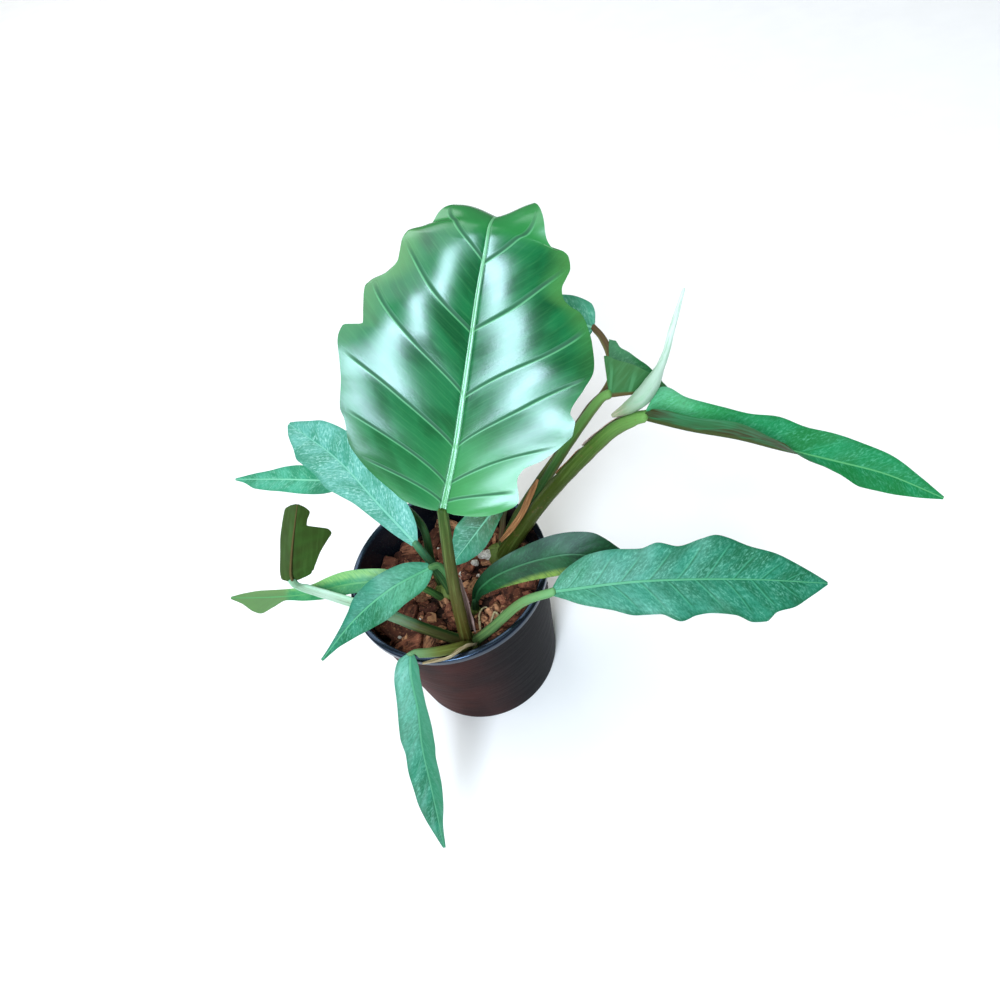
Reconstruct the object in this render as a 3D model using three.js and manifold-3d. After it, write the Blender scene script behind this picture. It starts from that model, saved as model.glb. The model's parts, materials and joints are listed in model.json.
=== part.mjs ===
// A potted philodendron: three short shoots and a small one in a round nursery pot.
// Millimetres, +Z up. The origin is the centre of the pot's underside, and the big leaf faces -Y.
import * as THREE from "three";
import { mergeVertices } from "three/addons/utils/BufferGeometryUtils.js";
import Module from "manifold-3d";

const wasm = await Module();
wasm.setup();

// Driving sizes of the pot
const POT_HEIGHT = 110;
const RIM_RADIUS = 60;
const BASE_RADIUS = 49.5;
const POT_WALL = 1.6;
const POT_FLOOR = 3;
const RIM_HEIGHT = 5;
const RIM_LIP = 2.6;
const EDGE_ROUND = 1.2;
const POT_SEGMENTS = 48;
const DRAIN_HOLES = 8;
const DRAIN_RADIUS = 4;
const DRAIN_CIRCLE = 33;
const DRAIN_SIDES = 12;

// The bark mix in the pot
const MIX_MIDDLE = 88;
const MIX_SLOPE = -0.09;
const MIX_SECTORS = 24;
const MIX_RINGS = [0.25, 0.5, 0.75, 1];
const CHIP_PLACES = 60;
const CHIP_LENGTH = [11, 18];
const CHIP_BREADTH = [8, 13];
const CHIP_DEPTH = [5, 8];
const CHIP_TILT = 0.4;
const CHIP_UNEVENNESS = 0.14;
const CHIP_RISE = [0.05, 0.3];
const CHIP_CLEARANCE = 1.5;
const CHIP_DEPTH_BELOW = 12;
const HUMP_HEIGHT = 1.2;
const HUMP_SPREAD = [9, 8];
const HUMP_SHIFT = 1.3;
const STALK_CHECKS = 20;

// Leaves
const GAP = 0.3;
const BLADE_THICKNESS = 1;
const RIB_HALF_WIDTH = 1.8;
const BROAD_SPAN = 0.2;
const BROAD_STEPS = 15;
const VEIN_BEND = 0.9;
const LEFT_WAVE_SHIFT = 1.9;
const QUILT_AT_TIP = 0.2;
const STEM_SIDES = 8;
const STEM_STEPS = 8;

// Colours
const POT_BROWN = 0x45302e;
const BARK_BROWN = 0x6f452f;
const STEM_OLIVE = 0x5f7032;
const GLOSSY_GREEN = 0x2f8a4c;
const MATTE_GREEN = 0x4fa07c;
const YELLOW_GREEN = 0x7fae55;
const UNDERSIDE_OLIVE = 0x566334;
const NEW_LEAF_WHITE = 0xcfe6cf;
const DRY_PINK = 0x9a8078;
const DRY_TAN = 0x9a7648;

// One entry a leaf. petiole and midrib are points along the stalk and the blade's middle line.
// face lists the way the upper side looks, evenly spaced from base to tip, and left and right are
// pairs of place along the midrib (0 to 1) and half width, seen from above with the tip ahead.
// fold is each half's rise above flat in degrees, curl the droop of the edges, arch the bow of each
// half as a share of its width, and ripple the height, count and phase of the waves along the edges.
// fold and arch are spread evenly too, and joined by smooth curves. foldRight and archRight are given
// where the right half differs. veins are pairs of a side vein's start on the midrib and its end at
// the edge. spans are columns across each half.
const LEAVES = {
  big: {
    petiole: [[-1, -43, 92], [2, -41, 120], [7, -34, 155], [14, -24, 190]],
    radius: [3.8, 2.8],
    midrib: [
      [14, -24, 190], [28, -11, 211], [40, 2, 231], [51, 15, 249], [61, 25, 267],
      [70, 33.5, 281.5], [74.5, 39.5, 287], [79, 48, 285], [82, 55, 277], [83.5, 59, 265],
    ],
    face: [
      [-0.05, -0.82, 0.57], [-0.05, -0.82, 0.57], [-0.05, -0.82, 0.6], [0.06, -0.5, 0.85], [0.1, 0.86, 0.5],
    ],
    left: [
      [0, 6], [0.012, 18], [0.04, 26], [0.077, 35.5], [0.11, 42], [0.165, 49], [0.233, 52], [0.265, 54.5],
      [0.33, 55.5], [0.39, 57.5], [0.45, 59.5], [0.482, 58], [0.496, 49], [0.54, 50], [0.585, 51],
      [0.605, 48.5], [0.63, 42], [0.665, 38], [0.715, 38.5], [0.75, 37], [0.775, 33.5], [0.79, 29.5],
      [0.815, 28], [0.845, 26], [0.88, 20], [0.94, 12], [1, 1],
    ],
    right: [
      [0, 6], [0.012, 17], [0.04, 27], [0.09, 35], [0.15, 32], [0.175, 33.5], [0.21, 41.5], [0.26, 49.5],
      [0.295, 53], [0.325, 53], [0.348, 50], [0.41, 54], [0.468, 57], [0.535, 54.5], [0.575, 51.5],
      [0.618, 46.5], [0.632, 41.5], [0.65, 38], [0.68, 36.5], [0.705, 37.5], [0.73, 38.5], [0.755, 37],
      [0.775, 33], [0.797, 29], [0.82, 24.5], [0.85, 21.5], [0.88, 18], [0.94, 11], [1, 1],
    ],
    fold: [13.9, 11.4, 8.8, 4.3, 0.5, -1.6, -5.7, -8.6, -11.1, 27, 18],
    foldRight: [16.7, 15.5, 14.7, 14.3, 10.7, 4.5, -2.3, -8.2, -13.3, 18, 16],
    curl: [0, 0],
    arch: [0.034, 0.023, 0.014, 0.017, 0.03, 0.074, 0.099, 0.093, 0.081, 0.032, 0],
    archRight: [0.043, 0.014, 0, -0.003, 0.013, 0.04, 0.049, 0.045, 0.037, 0.008, 0],
    ripple: [0.4, 7, 0],
    quilt: 0.8,
    veins: {
      left: [
        [0.013, 0.12], [0.07, 0.262], [0.185, 0.415], [0.34, 0.592], [0.51, 0.712], [0.7, 0.86], [0.86, 0.96],
      ],
      right: [
        [0.02, 0.11], [0.075, 0.245], [0.185, 0.44], [0.33, 0.568], [0.515, 0.722], [0.69, 0.87],
        [0.86, 0.96],
      ],
    },
    stations: 60,
    spans: [0.2, 0.4, 0.6, 0.8, 1],
    rib: 3,
    colour: GLOSSY_GREEN,
  },
  right_low: {
    petiole: [[2, -44, 94], [16, -46, 107], [36, -45, 121], [54, -47, 125]],
    radius: [3, 2.4],
    midrib: [[54, -47, 125], [98, -59, 128], [148, -71, 119], [193, -80, 102]],
    face: [[-0.1, -0.45, 0.9], [-0.1, -0.4, 0.9]],
    left: [
      [0, 2.5], [0.03, 8], [0.08, 13], [0.15, 17], [0.23, 18], [0.32, 17], [0.38, 19.5],
      [0.45, 17.5], [0.53, 21], [0.58, 22.8], [0.63, 21.5], [0.71, 17], [0.81, 13.5], [0.93, 6], [1, 0.8],
    ],
    right: [
      [0, 2.5], [0.04, 5], [0.09, 8.5], [0.2, 13.5], [0.29, 17.5], [0.37, 17.5], [0.44, 21.5], [0.5, 18.5],
      [0.55, 17.5], [0.63, 18.5], [0.7, 22], [0.75, 21.5], [0.79, 16.5], [0.86, 13.5], [0.93, 7.5], [1, 0.8],
    ],
    fold: [12, 6, 4],
    curl: [0, 0],
    ripple: [1.5, 5, 0.1],
    stations: 24,
    spans: [0.34, 0.67, 1],
    rib: 1.6,
    colour: MATTE_GREEN,
  },
  right_top: {
    petiole: [
      [31, 9, 88], [51.5, 9.5, 114], [70, 13, 130.5], [90, 12, 151], [109, 6.5, 173],
      [120, -1, 184.5], [124, -4, 187.5],
    ],
    radius: [5.6, 4.4, 4.5, 3.6],
    midrib: [
      [124, -4, 187.5], [142, -17, 184], [165, -26, 175.5], [190, -36, 163], [212, -43, 152],
      [236, -51, 139], [262, -64, 122],
    ],
    face: [
      [0.1, 0.2, 0.95], [0.1, 0.2, 0.95], [0.1, 0.1, 0.95], [-0.2, -0.5, 0.8], [-0.2, -0.6, 0.8],
      [-0.2, -0.6, 0.8],
    ],
    left: [
      [0, 3], [0.02, 15], [0.05, 17], [0.11, 14.5], [0.21, 12.5], [0.29, 12.5], [0.4, 14],
      [0.5, 13.5], [0.6, 13], [0.75, 10.5], [0.9, 5], [1, 0.8],
    ],
    right: [
      [0, 3], [0.03, 10], [0.12, 12.5], [0.3, 13], [0.42, 9.5], [0.5, 6], [0.56, 5], [0.62, 6.5],
      [0.7, 10.5], [0.8, 9.5], [0.9, 6], [1, 0.8],
    ],
    fold: [62, 60, 50, 20, 12, 10],
    curl: [0, 0],
    ripple: [1, 5, 0],
    stations: 20,
    spans: [0.34, 0.67, 1],
    rib: 2,
    colour: MATTE_GREEN,
  },
  back_right: {
    petiole: [
      [31, 14, 88], [51, 17.3, 112.7], [69, 21.5, 130.5], [85, 22.5, 152], [102, 19.5, 178],
      [109.5, 18, 187.5], [113, 17, 189.3],
    ],
    radius: [3.2, 2.8],
    midrib: [[113, 17, 189.3], [126, 10.7, 191], [135, 7.5, 190], [142, 5, 187.5]],
    face: [[-0.1, 0.68, 0.73], [0, 0.6, 0.8]],
    left: [[0, 6], [0.02, 28], [0.12, 28], [0.2, 24], [0.4, 19], [0.7, 12], [0.9, 5], [1, 1]],
    right: [[0, 6], [0.02, 21], [0.14, 20], [0.4, 16], [0.7, 9], [0.9, 4], [1, 1]],
    fold: [72, 66, 40],
    curl: [0, 0],
    ripple: [0.6, 3, 0],
    stations: 11,
    spans: [0.5, 1],
    rib: 1.6,
    colour: MATTE_GREEN,
  },
  front_left: {
    petiole: [[-1, -40, 92], [2, -30, 105], [2, -20, 124], [-1, -14.5, 134], [-6, -15, 136]],
    radius: [2.4, 2],
    midrib: [[-6, -15, 136], [-29, -21, 137], [-54, -26, 127], [-80, -35, 112]],
    face: [[-0.2, -0.5, 0.85], [-0.3, -0.5, 0.8]],
    left: [[0, 3], [0.05, 7], [0.12, 10], [0.27, 12], [0.41, 13], [0.55, 11], [0.72, 7], [0.86, 3], [1, 0.8]],
    right: [
      [0, 3], [0.06, 6], [0.16, 9], [0.27, 10], [0.39, 10.5], [0.52, 9], [0.63, 5.5], [0.76, 2.8],
      [0.9, 1.4], [1, 0.8],
    ],
    fold: [12, 10],
    curl: [0, 0],
    ripple: [0.8, 4, 0],
    stations: 14,
    spans: [0.5, 1],
    rib: 1.2,
    colour: MATTE_GREEN,
  },
  upper_left: {
    petiole: [[-4, -4, 88], [-3, -8, 104], [-6, -4, 120], [-11, 3, 138]],
    radius: [2.8, 2.2],
    midrib: [[-11, 3, 138], [-25, 28, 152], [-43, 65, 160], [-70, 108, 160]],
    face: [[-0.1, -0.5, 0.85], [-0.1, -0.4, 0.9]],
    left: [
      [0, 2.5], [0.1, 5.5], [0.2, 7.5], [0.32, 10], [0.42, 14], [0.5, 16.5], [0.63, 15.5],
      [0.76, 15.5], [0.87, 10.5], [0.95, 6], [1, 1.5],
    ],
    right: [
      [0, 2.5], [0.05, 8], [0.12, 12], [0.25, 15], [0.4, 17], [0.55, 17.5], [0.67, 16.5],
      [0.78, 14], [0.88, 9], [0.95, 5], [1, 1.5],
    ],
    fold: [16, 8],
    curl: [0, 0],
    ripple: [1, 4, 0],
    stations: 17,
    spans: [0.34, 0.67, 1],
    rib: 1.6,
    colour: MATTE_GREEN,
  },
  far_left: {
    petiole: [[-8, 2, 90], [-8, 7, 112], [-6, 18, 134], [-20, 38, 143], [-44, 62, 142]],
    radius: [2.6, 1.9],
    midrib: [[-44, 62, 142], [-69, 80, 135], [-93, 98, 127], [-130, 127, 112]],
    face: [[-0.1, -0.5, 0.85], [-0.1, -0.4, 0.9]],
    left: [[0, 2], [0.03, 5], [0.25, 9.5], [0.5, 8.5], [0.75, 7], [0.9, 2.5], [1, 0.8]],
    right: [[0, 2], [0.1, 6], [0.4, 9.5], [0.61, 6.5], [0.82, 3.7], [1, 0.8]],
    fold: [10, 8],
    curl: [0, 0],
    ripple: [0.6, 4, 0],
    stations: 12,
    spans: [0.5, 1],
    rib: 1.2,
    colour: MATTE_GREEN,
  },
  folded_left: {
    petiole: [
      [-2, -42, 94], [-22, -34, 111], [-39, -23, 119], [-58, -10, 123], [-82, 9, 121], [-88, 13.5, 121.5],
      [-89, 15, 124.5],
    ],
    radius: [3.4, 2.5],
    midrib: [[-89, 15, 124.5], [-87, 18, 131], [-80, 27, 143], [-69, 39, 160]],
    face: [[-0.15, 0.85, -0.5], [-0.15, 0.85, -0.5]],
    left: [
      [0, 4], [0.03, 11.5], [0.2, 14], [0.4, 17], [0.55, 20.5], [0.63, 22.5], [0.69, 20], [0.735, 7],
      [0.8, 7], [0.9, 8], [0.96, 5], [1, 1],
    ],
    right: [[0, 3], [0.05, 6], [0.3, 6.5], [0.6, 7.5], [0.9, 7], [0.97, 4], [1, 1]],
    fold: [10, 20],
    curl: [0, 0],
    ripple: [0.5, 3, 0],
    stations: 13,
    spans: [0.5, 1],
    rib: 1.6,
    colour: UNDERSIDE_OLIVE,
  },
  long_left: {
    petiole: [[-9, -6, 88], [-16, -7, 106], [-28, -2, 116]],
    radius: [2.4, 1.8],
    midrib: [[-28, -2, 116], [-56, 3, 120], [-86, 12.5, 111.3], [-113, 24.5, 104.3], [-141, 39, 97]],
    face: [[-0.2, -0.4, 0.9], [-0.2, -0.4, 0.9]],
    left: [
      [0, 2], [0.1, 5], [0.3, 6], [0.5, 4], [0.62, 2.5], [0.7, 6.5], [0.77, 10], [0.83, 8.5],
      [0.91, 4], [1, 0.8],
    ],
    right: [
      [0, 2], [0.07, 7], [0.22, 8], [0.35, 6.8], [0.45, 5.2], [0.6, 4.5], [0.77, 4.5], [0.9, 3], [1, 0.8],
    ],
    fold: [10, 8],
    curl: [0, 0],
    ripple: [0.5, 4, 0],
    stations: 15,
    spans: [0.5, 1],
    rib: 1.2,
    colour: YELLOW_GREEN,
  },
  hanging: {
    petiole: [[0, -44, 94], [-3, -51, 106], [-16, -54, 115], [-29, -52, 118]],
    radius: [3.4, 2.4],
    midrib: [
      [-29, -52, 118], [-32, -62, 113], [-35, -74, 97], [-40, -88, 80], [-43, -107, 61], [-46, -130, 42],
    ],
    face: [[-0.1, -0.2, 0.95], [-0.1, -0.6, 0.6], [-0.1, -0.5, 0.8]],
    left: [
      [0, 2], [0.08, 5.5], [0.24, 5.5], [0.39, 7.5], [0.47, 8], [0.55, 7], [0.65, 7], [0.77, 5.5],
      [0.9, 2], [1, 0.8],
    ],
    right: [
      [0, 2], [0.03, 6.5], [0.18, 10], [0.32, 11], [0.42, 11.3], [0.51, 9.5], [0.6, 10],
      [0.73, 9.3], [0.85, 6.5], [0.94, 3.2], [1, 0.8],
    ],
    fold: [15, 15],
    curl: [0, 0],
    ripple: [0.6, 4, 0],
    stations: 16,
    spans: [0.5, 1],
    rib: 1.2,
    colour: MATTE_GREEN,
  },
  behind_right: {
    petiole: [[8, -22, 90], [9, -21, 95], [10, -20, 98]],
    radius: [2.6, 2],
    midrib: [
      [10, -20, 98], [16, -18, 106], [30, -19, 115], [53, -23, 122], [76, -30, 124], [106, -43, 111],
    ],
    face: [[-0.3, -0.5, 0.8], [-0.1, -0.4, 0.9]],
    left: [
      [0, 2], [0.12, 5], [0.27, 8], [0.44, 10.5], [0.59, 12.5], [0.7, 13], [0.77, 11], [0.83, 8.5],
      [0.92, 5], [1, 0.8],
    ],
    right: [[0, 2], [0.14, 6.5], [0.33, 10], [0.52, 11.5], [0.7, 12], [0.85, 8], [1, 0.8]],
    fold: [25, 12],
    curl: [0, 0],
    ripple: [0.8, 4, 0],
    stations: 15,
    spans: [0.5, 1],
    rib: 1.2,
    colour: MATTE_GREEN,
  },
  centre: {
    petiole: [[32, 14, 88], [37, 20, 100], [41, 24, 110], [44, 26, 116], [42, 25, 118]],
    radius: [2.2, 1.7],
    midrib: [[42, 25, 118], [34, 20, 120], [21, 12, 116], [2, 4, 105]],
    face: [[-0.1, -0.5, 0.85], [-0.1, -0.5, 0.85]],
    left: [[0, 2], [0.1, 5], [0.3, 8], [0.55, 10], [0.8, 7], [1, 0.8]],
    right: [[0, 2], [0.1, 7], [0.3, 11], [0.55, 12], [0.8, 7], [1, 0.8]],
    fold: [10, 10],
    curl: [0, 0],
    ripple: [0.5, 4, 0],
    stations: 11,
    spans: [0.5, 1],
    rib: 1,
    colour: MATTE_GREEN,
  },
  behind_big: {
    petiole: [
      [31, 14, 88], [47.5, 18.5, 111], [66, 24.3, 129], [85, 26, 150], [103, 24, 176], [113, 25.5, 183],
      [120, 31, 189], [121.5, 39, 196.5], [120.5, 47, 201.5], [118.5, 54, 203.5],
    ],
    radius: [2.8, 2],
    midrib: [[118.5, 54, 203.5], [108, 63, 205], [94, 77, 202], [82, 92, 194]],
    face: [[-0.1, -0.6, 0.8], [-0.1, -0.6, 0.8]],
    left: [[0, 3], [0.03, 14], [0.09, 19], [0.2, 20], [0.6, 16], [0.85, 9], [1, 0.8]],
    right: [[0, 3], [0.03, 8], [0.1, 12], [0.3, 14], [0.6, 14], [0.85, 8], [1, 0.8]],
    fold: [10, 10],
    curl: [0, 0],
    ripple: [0.5, 4, 0],
    stations: 12,
    spans: [0.5, 1],
    rib: 1.2,
    colour: MATTE_GREEN,
  },
};

// Dry sheaths: narrow troughs that stand beside the stalks they once wrapped
const SHEATHS = {
  dried: {
    midrib: [[5, -39, 99.5], [7, -34, 118], [9, -30, 140]],
    face: [[-0.6, -0.8, 0], [-0.6, -0.8, 0]],
    left: [[0, 3], [0.4, 3], [0.8, 2], [1, 0.8]],
    right: [[0, 3], [0.4, 3], [0.8, 2], [1, 0.8]],
    colour: DRY_PINK,
  },
  back: {
    midrib: [
      [35, 8.9, 106.4], [45.2, 8.9, 116.8], [52, 11.4, 122.5], [59.1, 16.8, 127.9], [66.7, 21, 136.3],
    ],
    face: [[-0.3, -0.4, 0.85], [-0.4, -0.5, 0.75]],
    left: [[0, 1.2], [0.3, 2.1], [0.8, 2.2], [1, 0.8]],
    right: [[0, 1.2], [0.3, 2.1], [0.8, 2.2], [1, 0.8]],
    colour: DRY_TAN,
  },
  front: {
    midrib: [[4.5, -50.5, 102.5], [-0.5, -55, 111.5], [-11, -60, 115], [-24, -59.5, 117]],
    face: [[0, 1, 0.2], [0.2, 0.9, 0.4], [0.1, 0.5, 0.8]],
    left: [[0, 1.6], [0.4, 2.2], [0.8, 1.8], [1, 0.8]],
    right: [[0, 1.6], [0.4, 2.2], [0.8, 1.8], [1, 0.8]],
    colour: DRY_TAN,
  },
};
const SHEATH_FOLD = 30;
const SHEATH_STATIONS = 9;

// The rolled new leaf beside the top of the back shoot
const SPEAR_POINTS = [
  [111.5, 8.5, 182], [119.5, 5, 188], [126, 2, 196], [131.5, 0.5, 206], [137, -0.5, 220],
  [141, 0.5, 233], [148, 3.5, 251],
];
const SPEAR_RADII = [1.2, 3.7, 4.7, 4.1, 2.2, 1.7, 1.5, 1.1, 0.6];

// Short crowns in the mix, each with the leaves whose stalks grow from it
const SHOOTS = {
  front: {
    x: -0.5,
    y: -43,
    radius: 7,
    top: 98,
    leaves: ["big", "right_low", "front_left", "folded_left", "hanging"],
  },
  middle: { x: -7, y: -2, radius: 7, top: 94, leaves: ["upper_left", "far_left", "long_left"] },
  back: { x: 31, y: 12, radius: 8.5, top: 95, leaves: ["right_top", "back_right", "centre", "behind_big"] },
  right: { x: 8, y: -22, radius: 3.6, top: 93, leaves: ["behind_right"] },
};
const CROWN_BOTTOM = 64;
const CROWN_SEGMENTS = 12;
const HOLE_CLEARANCE = 0.7;
const HOLE_SIDES = 16;

const vector = ([x, y, z]) => new THREE.Vector3(x, y, z);

// The value at u, 0 to 1, of a list of numbers spread evenly.
function along(list, u) {
  const place = u * (list.length - 1);
  const index = Math.min(Math.floor(place), list.length - 2);
  return THREE.MathUtils.lerp(list[index], list[index + 1], place - index);
}

// The same for a list of points.
function alongPoints(list, u) {
  return new THREE.Vector3(...[0, 1, 2].map((axis) => along(list.map((point) => point[axis]), u)));
}

// A smooth curve through pairs of place and value that never overshoots them.
function smoothThrough(pairs, u) {
  const last = pairs.length - 1;
  const steps = pairs.slice(1).map(([place], i) => place - pairs[i][0]);
  const rises = pairs.slice(1).map(([, value], i) => (value - pairs[i][1]) / steps[i]);
  const slope = (i) => {
    if (i === 0) return rises[0];
    if (i === last) return rises[last - 1];
    if (rises[i - 1] * rises[i] <= 0) return 0;
    const before = 2 * steps[i] + steps[i - 1];
    const after = steps[i] + 2 * steps[i - 1];
    return (before + after) / (before / rises[i - 1] + after / rises[i]);
  };
  let i = 0;
  while (i < last - 1 && u > pairs[i + 1][0]) i += 1;
  const h = steps[i];
  const s = THREE.MathUtils.clamp((u - pairs[i][0]) / h, 0, 1);
  const start = pairs[i][1];
  const end = pairs[i + 1][1];
  return (
    start * (1 + 2 * s) * (1 - s) ** 2 +
    end * s * s * (3 - 2 * s) +
    h * slope(i) * s * (1 - s) ** 2 -
    h * slope(i + 1) * s * s * (1 - s)
  );
}

// A list of numbers, spread evenly, as a smooth curve.
function eased(list, u) {
  return smoothThrough(list.map((value, i) => [i / (list.length - 1), value]), u);
}

// Position, forward way, upper face's way and right side's way at u on a blade's midrib.
function bladeFrame(leaf, u) {
  const curve = new THREE.CatmullRomCurve3(leaf.midrib.map(vector), false, "catmullrom", 0.5);
  const ahead = curve.getTangentAt(u);
  const up = alongPoints(leaf.face, u);
  up.addScaledVector(ahead, -up.dot(ahead)).normalize();
  const right = new THREE.Vector3().crossVectors(ahead, up);
  return { at: curve.getPointAt(u), ahead, up, right, length: curve.getLength() };
}

// A half's width at u with its lobes evened out, the nearest places counting most.
function broadHalf(leaf, u, side) {
  const pairs = side < 0 ? leaf.left : leaf.right;
  let total = 0;
  let weights = 0;
  for (let step = -BROAD_STEPS; step <= BROAD_STEPS; step += 1) {
    const share = step / (BROAD_STEPS + 1);
    const place = THREE.MathUtils.clamp(u + (share * BROAD_SPAN) / 2, 0, 1);
    total += (1 - Math.abs(share)) * smoothThrough(pairs, place);
    weights += 1 - Math.abs(share);
  }
  return total / weights;
}

// Which side vein a point lies by, as a number that is whole on each vein.
function veinPhase(veins, u, out) {
  const lines = veins.map(([start, end]) => start + (end - start) * out ** VEIN_BEND);
  const last = lines.length - 1;
  if (u < lines[0]) return (u - lines[0]) / (lines[1] - lines[0]);
  if (u > lines[last]) return last + (u - lines[last]) / (lines[last] - lines[last - 1]);
  const i = lines.findIndex((line, k) => k < last && u <= lines[k + 1]);
  return i + (u - lines[i]) / (lines[i + 1] - lines[i]);
}

// A half's rise above flat in radians.
function foldAt(leaf, u, side) {
  return THREE.MathUtils.degToRad(eased((side > 0 && leaf.foldRight) || leaf.fold, u));
}

// How far a point of the blade lies over the flat: the fold, the curl, the arch, the edge's waves
// and, on a quilted leaf, the swelling between its side veins.
function bladeRise(leaf, u, distance, reach, side) {
  const share = distance / reach;
  const [height, waves, shift] = leaf.ripple;
  const turn = 2 * Math.PI * (waves * u + shift) + (side < 0 ? LEFT_WAVE_SHIFT : 0);
  let rise = distance * Math.sin(foldAt(leaf, u, side));
  rise += along(leaf.curl, u) * share ** 2;
  rise += height * share ** 2 * Math.sin(turn);
  if (leaf.arch) {
    const half = broadHalf(leaf, u, side);
    const out = distance / half;
    rise += eased(side < 0 ? leaf.arch : leaf.archRight, u) * half * 4 * out * (1 - out);
    const phase = veinPhase(side < 0 ? leaf.veins.left : leaf.veins.right, u, out);
    const swell = Math.abs(Math.sin(Math.PI * phase)) * Math.max(0, 4 * out * (1 - out));
    rise += leaf.quilt * swell * Math.min(1, half / reach + QUILT_AT_TIP);
  }
  return rise;
}

// A closed mesh from rows of points for the upper and the lower side, split alike.
function closedSheet(upper, lower) {
  const rows = upper.length;
  const columns = upper[0].length;
  const positions = [...upper.flat(), ...lower.flat()].flatMap((p) => [p.x, p.y, p.z]);
  const top = (i, j) => i * columns + j;
  const under = (i, j) => rows * columns + i * columns + j;
  const faces = [];
  const quad = (a, b, c, d) => faces.push(a, b, c, a, c, d);
  for (let i = 0; i < rows - 1; i += 1) {
    for (let j = 0; j < columns - 1; j += 1) {
      quad(top(i, j), top(i, j + 1), top(i + 1, j + 1), top(i + 1, j));
      faces.push(under(i, j), under(i + 1, j + 1), under(i, j + 1));
      faces.push(under(i, j), under(i + 1, j), under(i + 1, j + 1));
    }
    quad(top(i, 0), top(i + 1, 0), under(i + 1, 0), under(i, 0));
    quad(top(i + 1, columns - 1), top(i, columns - 1), under(i, columns - 1), under(i + 1, columns - 1));
  }
  for (let j = 0; j < columns - 1; j += 1) {
    quad(top(0, j + 1), top(0, j), under(0, j), under(0, j + 1));
    quad(top(rows - 1, j), top(rows - 1, j + 1), under(rows - 1, j + 1), under(rows - 1, j));
  }
  const geometry = new THREE.BufferGeometry();
  geometry.setAttribute("position", new THREE.Float32BufferAttribute(positions, 3));
  geometry.setIndex(faces);
  return geometry;
}

// A leaf blade as a thin closed sheet with a rib standing out below its middle line.
function bladeGeometry(leaf) {
  const reach = Math.max(...leaf.left.map(([, half]) => half), ...leaf.right.map(([, half]) => half));
  const start = GAP / bladeFrame(leaf, 0).length;
  const upper = [];
  const lower = [];
  for (let i = 0; i <= leaf.stations; i += 1) {
    const u = Math.min(1, start + ((1 - start) * i) / leaf.stations);
    const frame = bladeFrame(leaf, u);
    const half = BLADE_THICKNESS / 2 / Math.cos(foldAt(leaf, u, 1));
    const point = (side, distance) => {
      const rise = bladeRise(leaf, u, distance, reach, side);
      return frame.at.clone()
        .addScaledVector(frame.right, side * distance * Math.cos(foldAt(leaf, u, side)))
        .addScaledVector(frame.up, rise);
    };
    const distances = (side) => {
      const width = smoothThrough(side < 0 ? leaf.left : leaf.right, u);
      return [Math.min(RIB_HALF_WIDTH, 0.5 * width * leaf.spans[0]), ...leaf.spans.map((s) => s * width)];
    };
    const middle = [
      ...distances(-1).reverse().map((distance) => point(-1, distance)),
      frame.at.clone(),
      ...distances(1).map((distance) => point(1, distance)),
    ];
    const ribDepth = leaf.rib * (1 - u) ** 0.8;
    const centre = (middle.length - 1) / 2;
    upper.push(middle.map((p) => p.clone().addScaledVector(frame.up, half)));
    const depth = (j) => half + (j === centre ? ribDepth : 0);
    lower.push(middle.map((p, j) => p.clone().addScaledVector(frame.up, -depth(j))));
  }
  return closedSheet(upper, lower);
}

// A stalk or shoot: a tapering tube along a smooth curve, its last ring square to endWay.
function stalkGeometry(points, radii, endWay) {
  const curve = new THREE.CatmullRomCurve3(points.map(vector), false, "catmullrom", 0.5);
  const positions = [];
  let across = new THREE.Vector3(1, 0, 0);
  for (let i = 0; i <= STEM_STEPS; i += 1) {
    const u = i / STEM_STEPS;
    const centre = curve.getPointAt(u);
    const ahead = i === STEM_STEPS && endWay ? endWay : curve.getTangentAt(u);
    across = across.clone().addScaledVector(ahead, -across.dot(ahead)).normalize();
    const other = new THREE.Vector3().crossVectors(ahead, across);
    for (let k = 0; k < STEM_SIDES; k += 1) {
      const angle = (2 * Math.PI * k) / STEM_SIDES;
      const p = centre.clone()
        .addScaledVector(across, along(radii, u) * Math.cos(angle))
        .addScaledVector(other, along(radii, u) * Math.sin(angle));
      positions.push(p.x, p.y, p.z);
    }
  }
  const first = curve.getPointAt(0);
  const last = curve.getPointAt(1);
  positions.push(first.x, first.y, first.z, last.x, last.y, last.z);
  const startCentre = (STEM_STEPS + 1) * STEM_SIDES;
  const endRing = STEM_STEPS * STEM_SIDES;
  const faces = [];
  for (let k = 0; k < STEM_SIDES; k += 1) {
    const next = (k + 1) % STEM_SIDES;
    for (let i = 0; i < STEM_STEPS; i += 1) {
      const a = i * STEM_SIDES;
      const b = a + STEM_SIDES;
      faces.push(a + k, a + next, b + next, a + k, b + next, b + k);
    }
    faces.push(startCentre, next, k);
    faces.push(startCentre + 1, endRing + k, endRing + next);
  }
  const geometry = new THREE.BufferGeometry();
  geometry.setAttribute("position", new THREE.Float32BufferAttribute(positions, 3));
  geometry.setIndex(faces);
  return geometry;
}

// A shape turned about the Z axis from pairs of radius and height.
function turned(profile, segments) {
  const geometry = new THREE.LatheGeometry(profile.map(([r, z]) => new THREE.Vector2(r, z)), segments);
  return geometry.rotateX(Math.PI / 2);
}

// A closed geometry as a solid for joining and cutting.
function solidOf(geometry) {
  const bare = geometry.clone();
  bare.deleteAttribute("normal");
  bare.deleteAttribute("uv");
  const merged = mergeVertices(bare, 1e-4);
  return new wasm.Manifold(
    new wasm.Mesh({
      numProp: 3,
      vertProperties: merged.attributes.position.array,
      triVerts: new Uint32Array(merged.index.array),
    }),
  );
}

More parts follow.
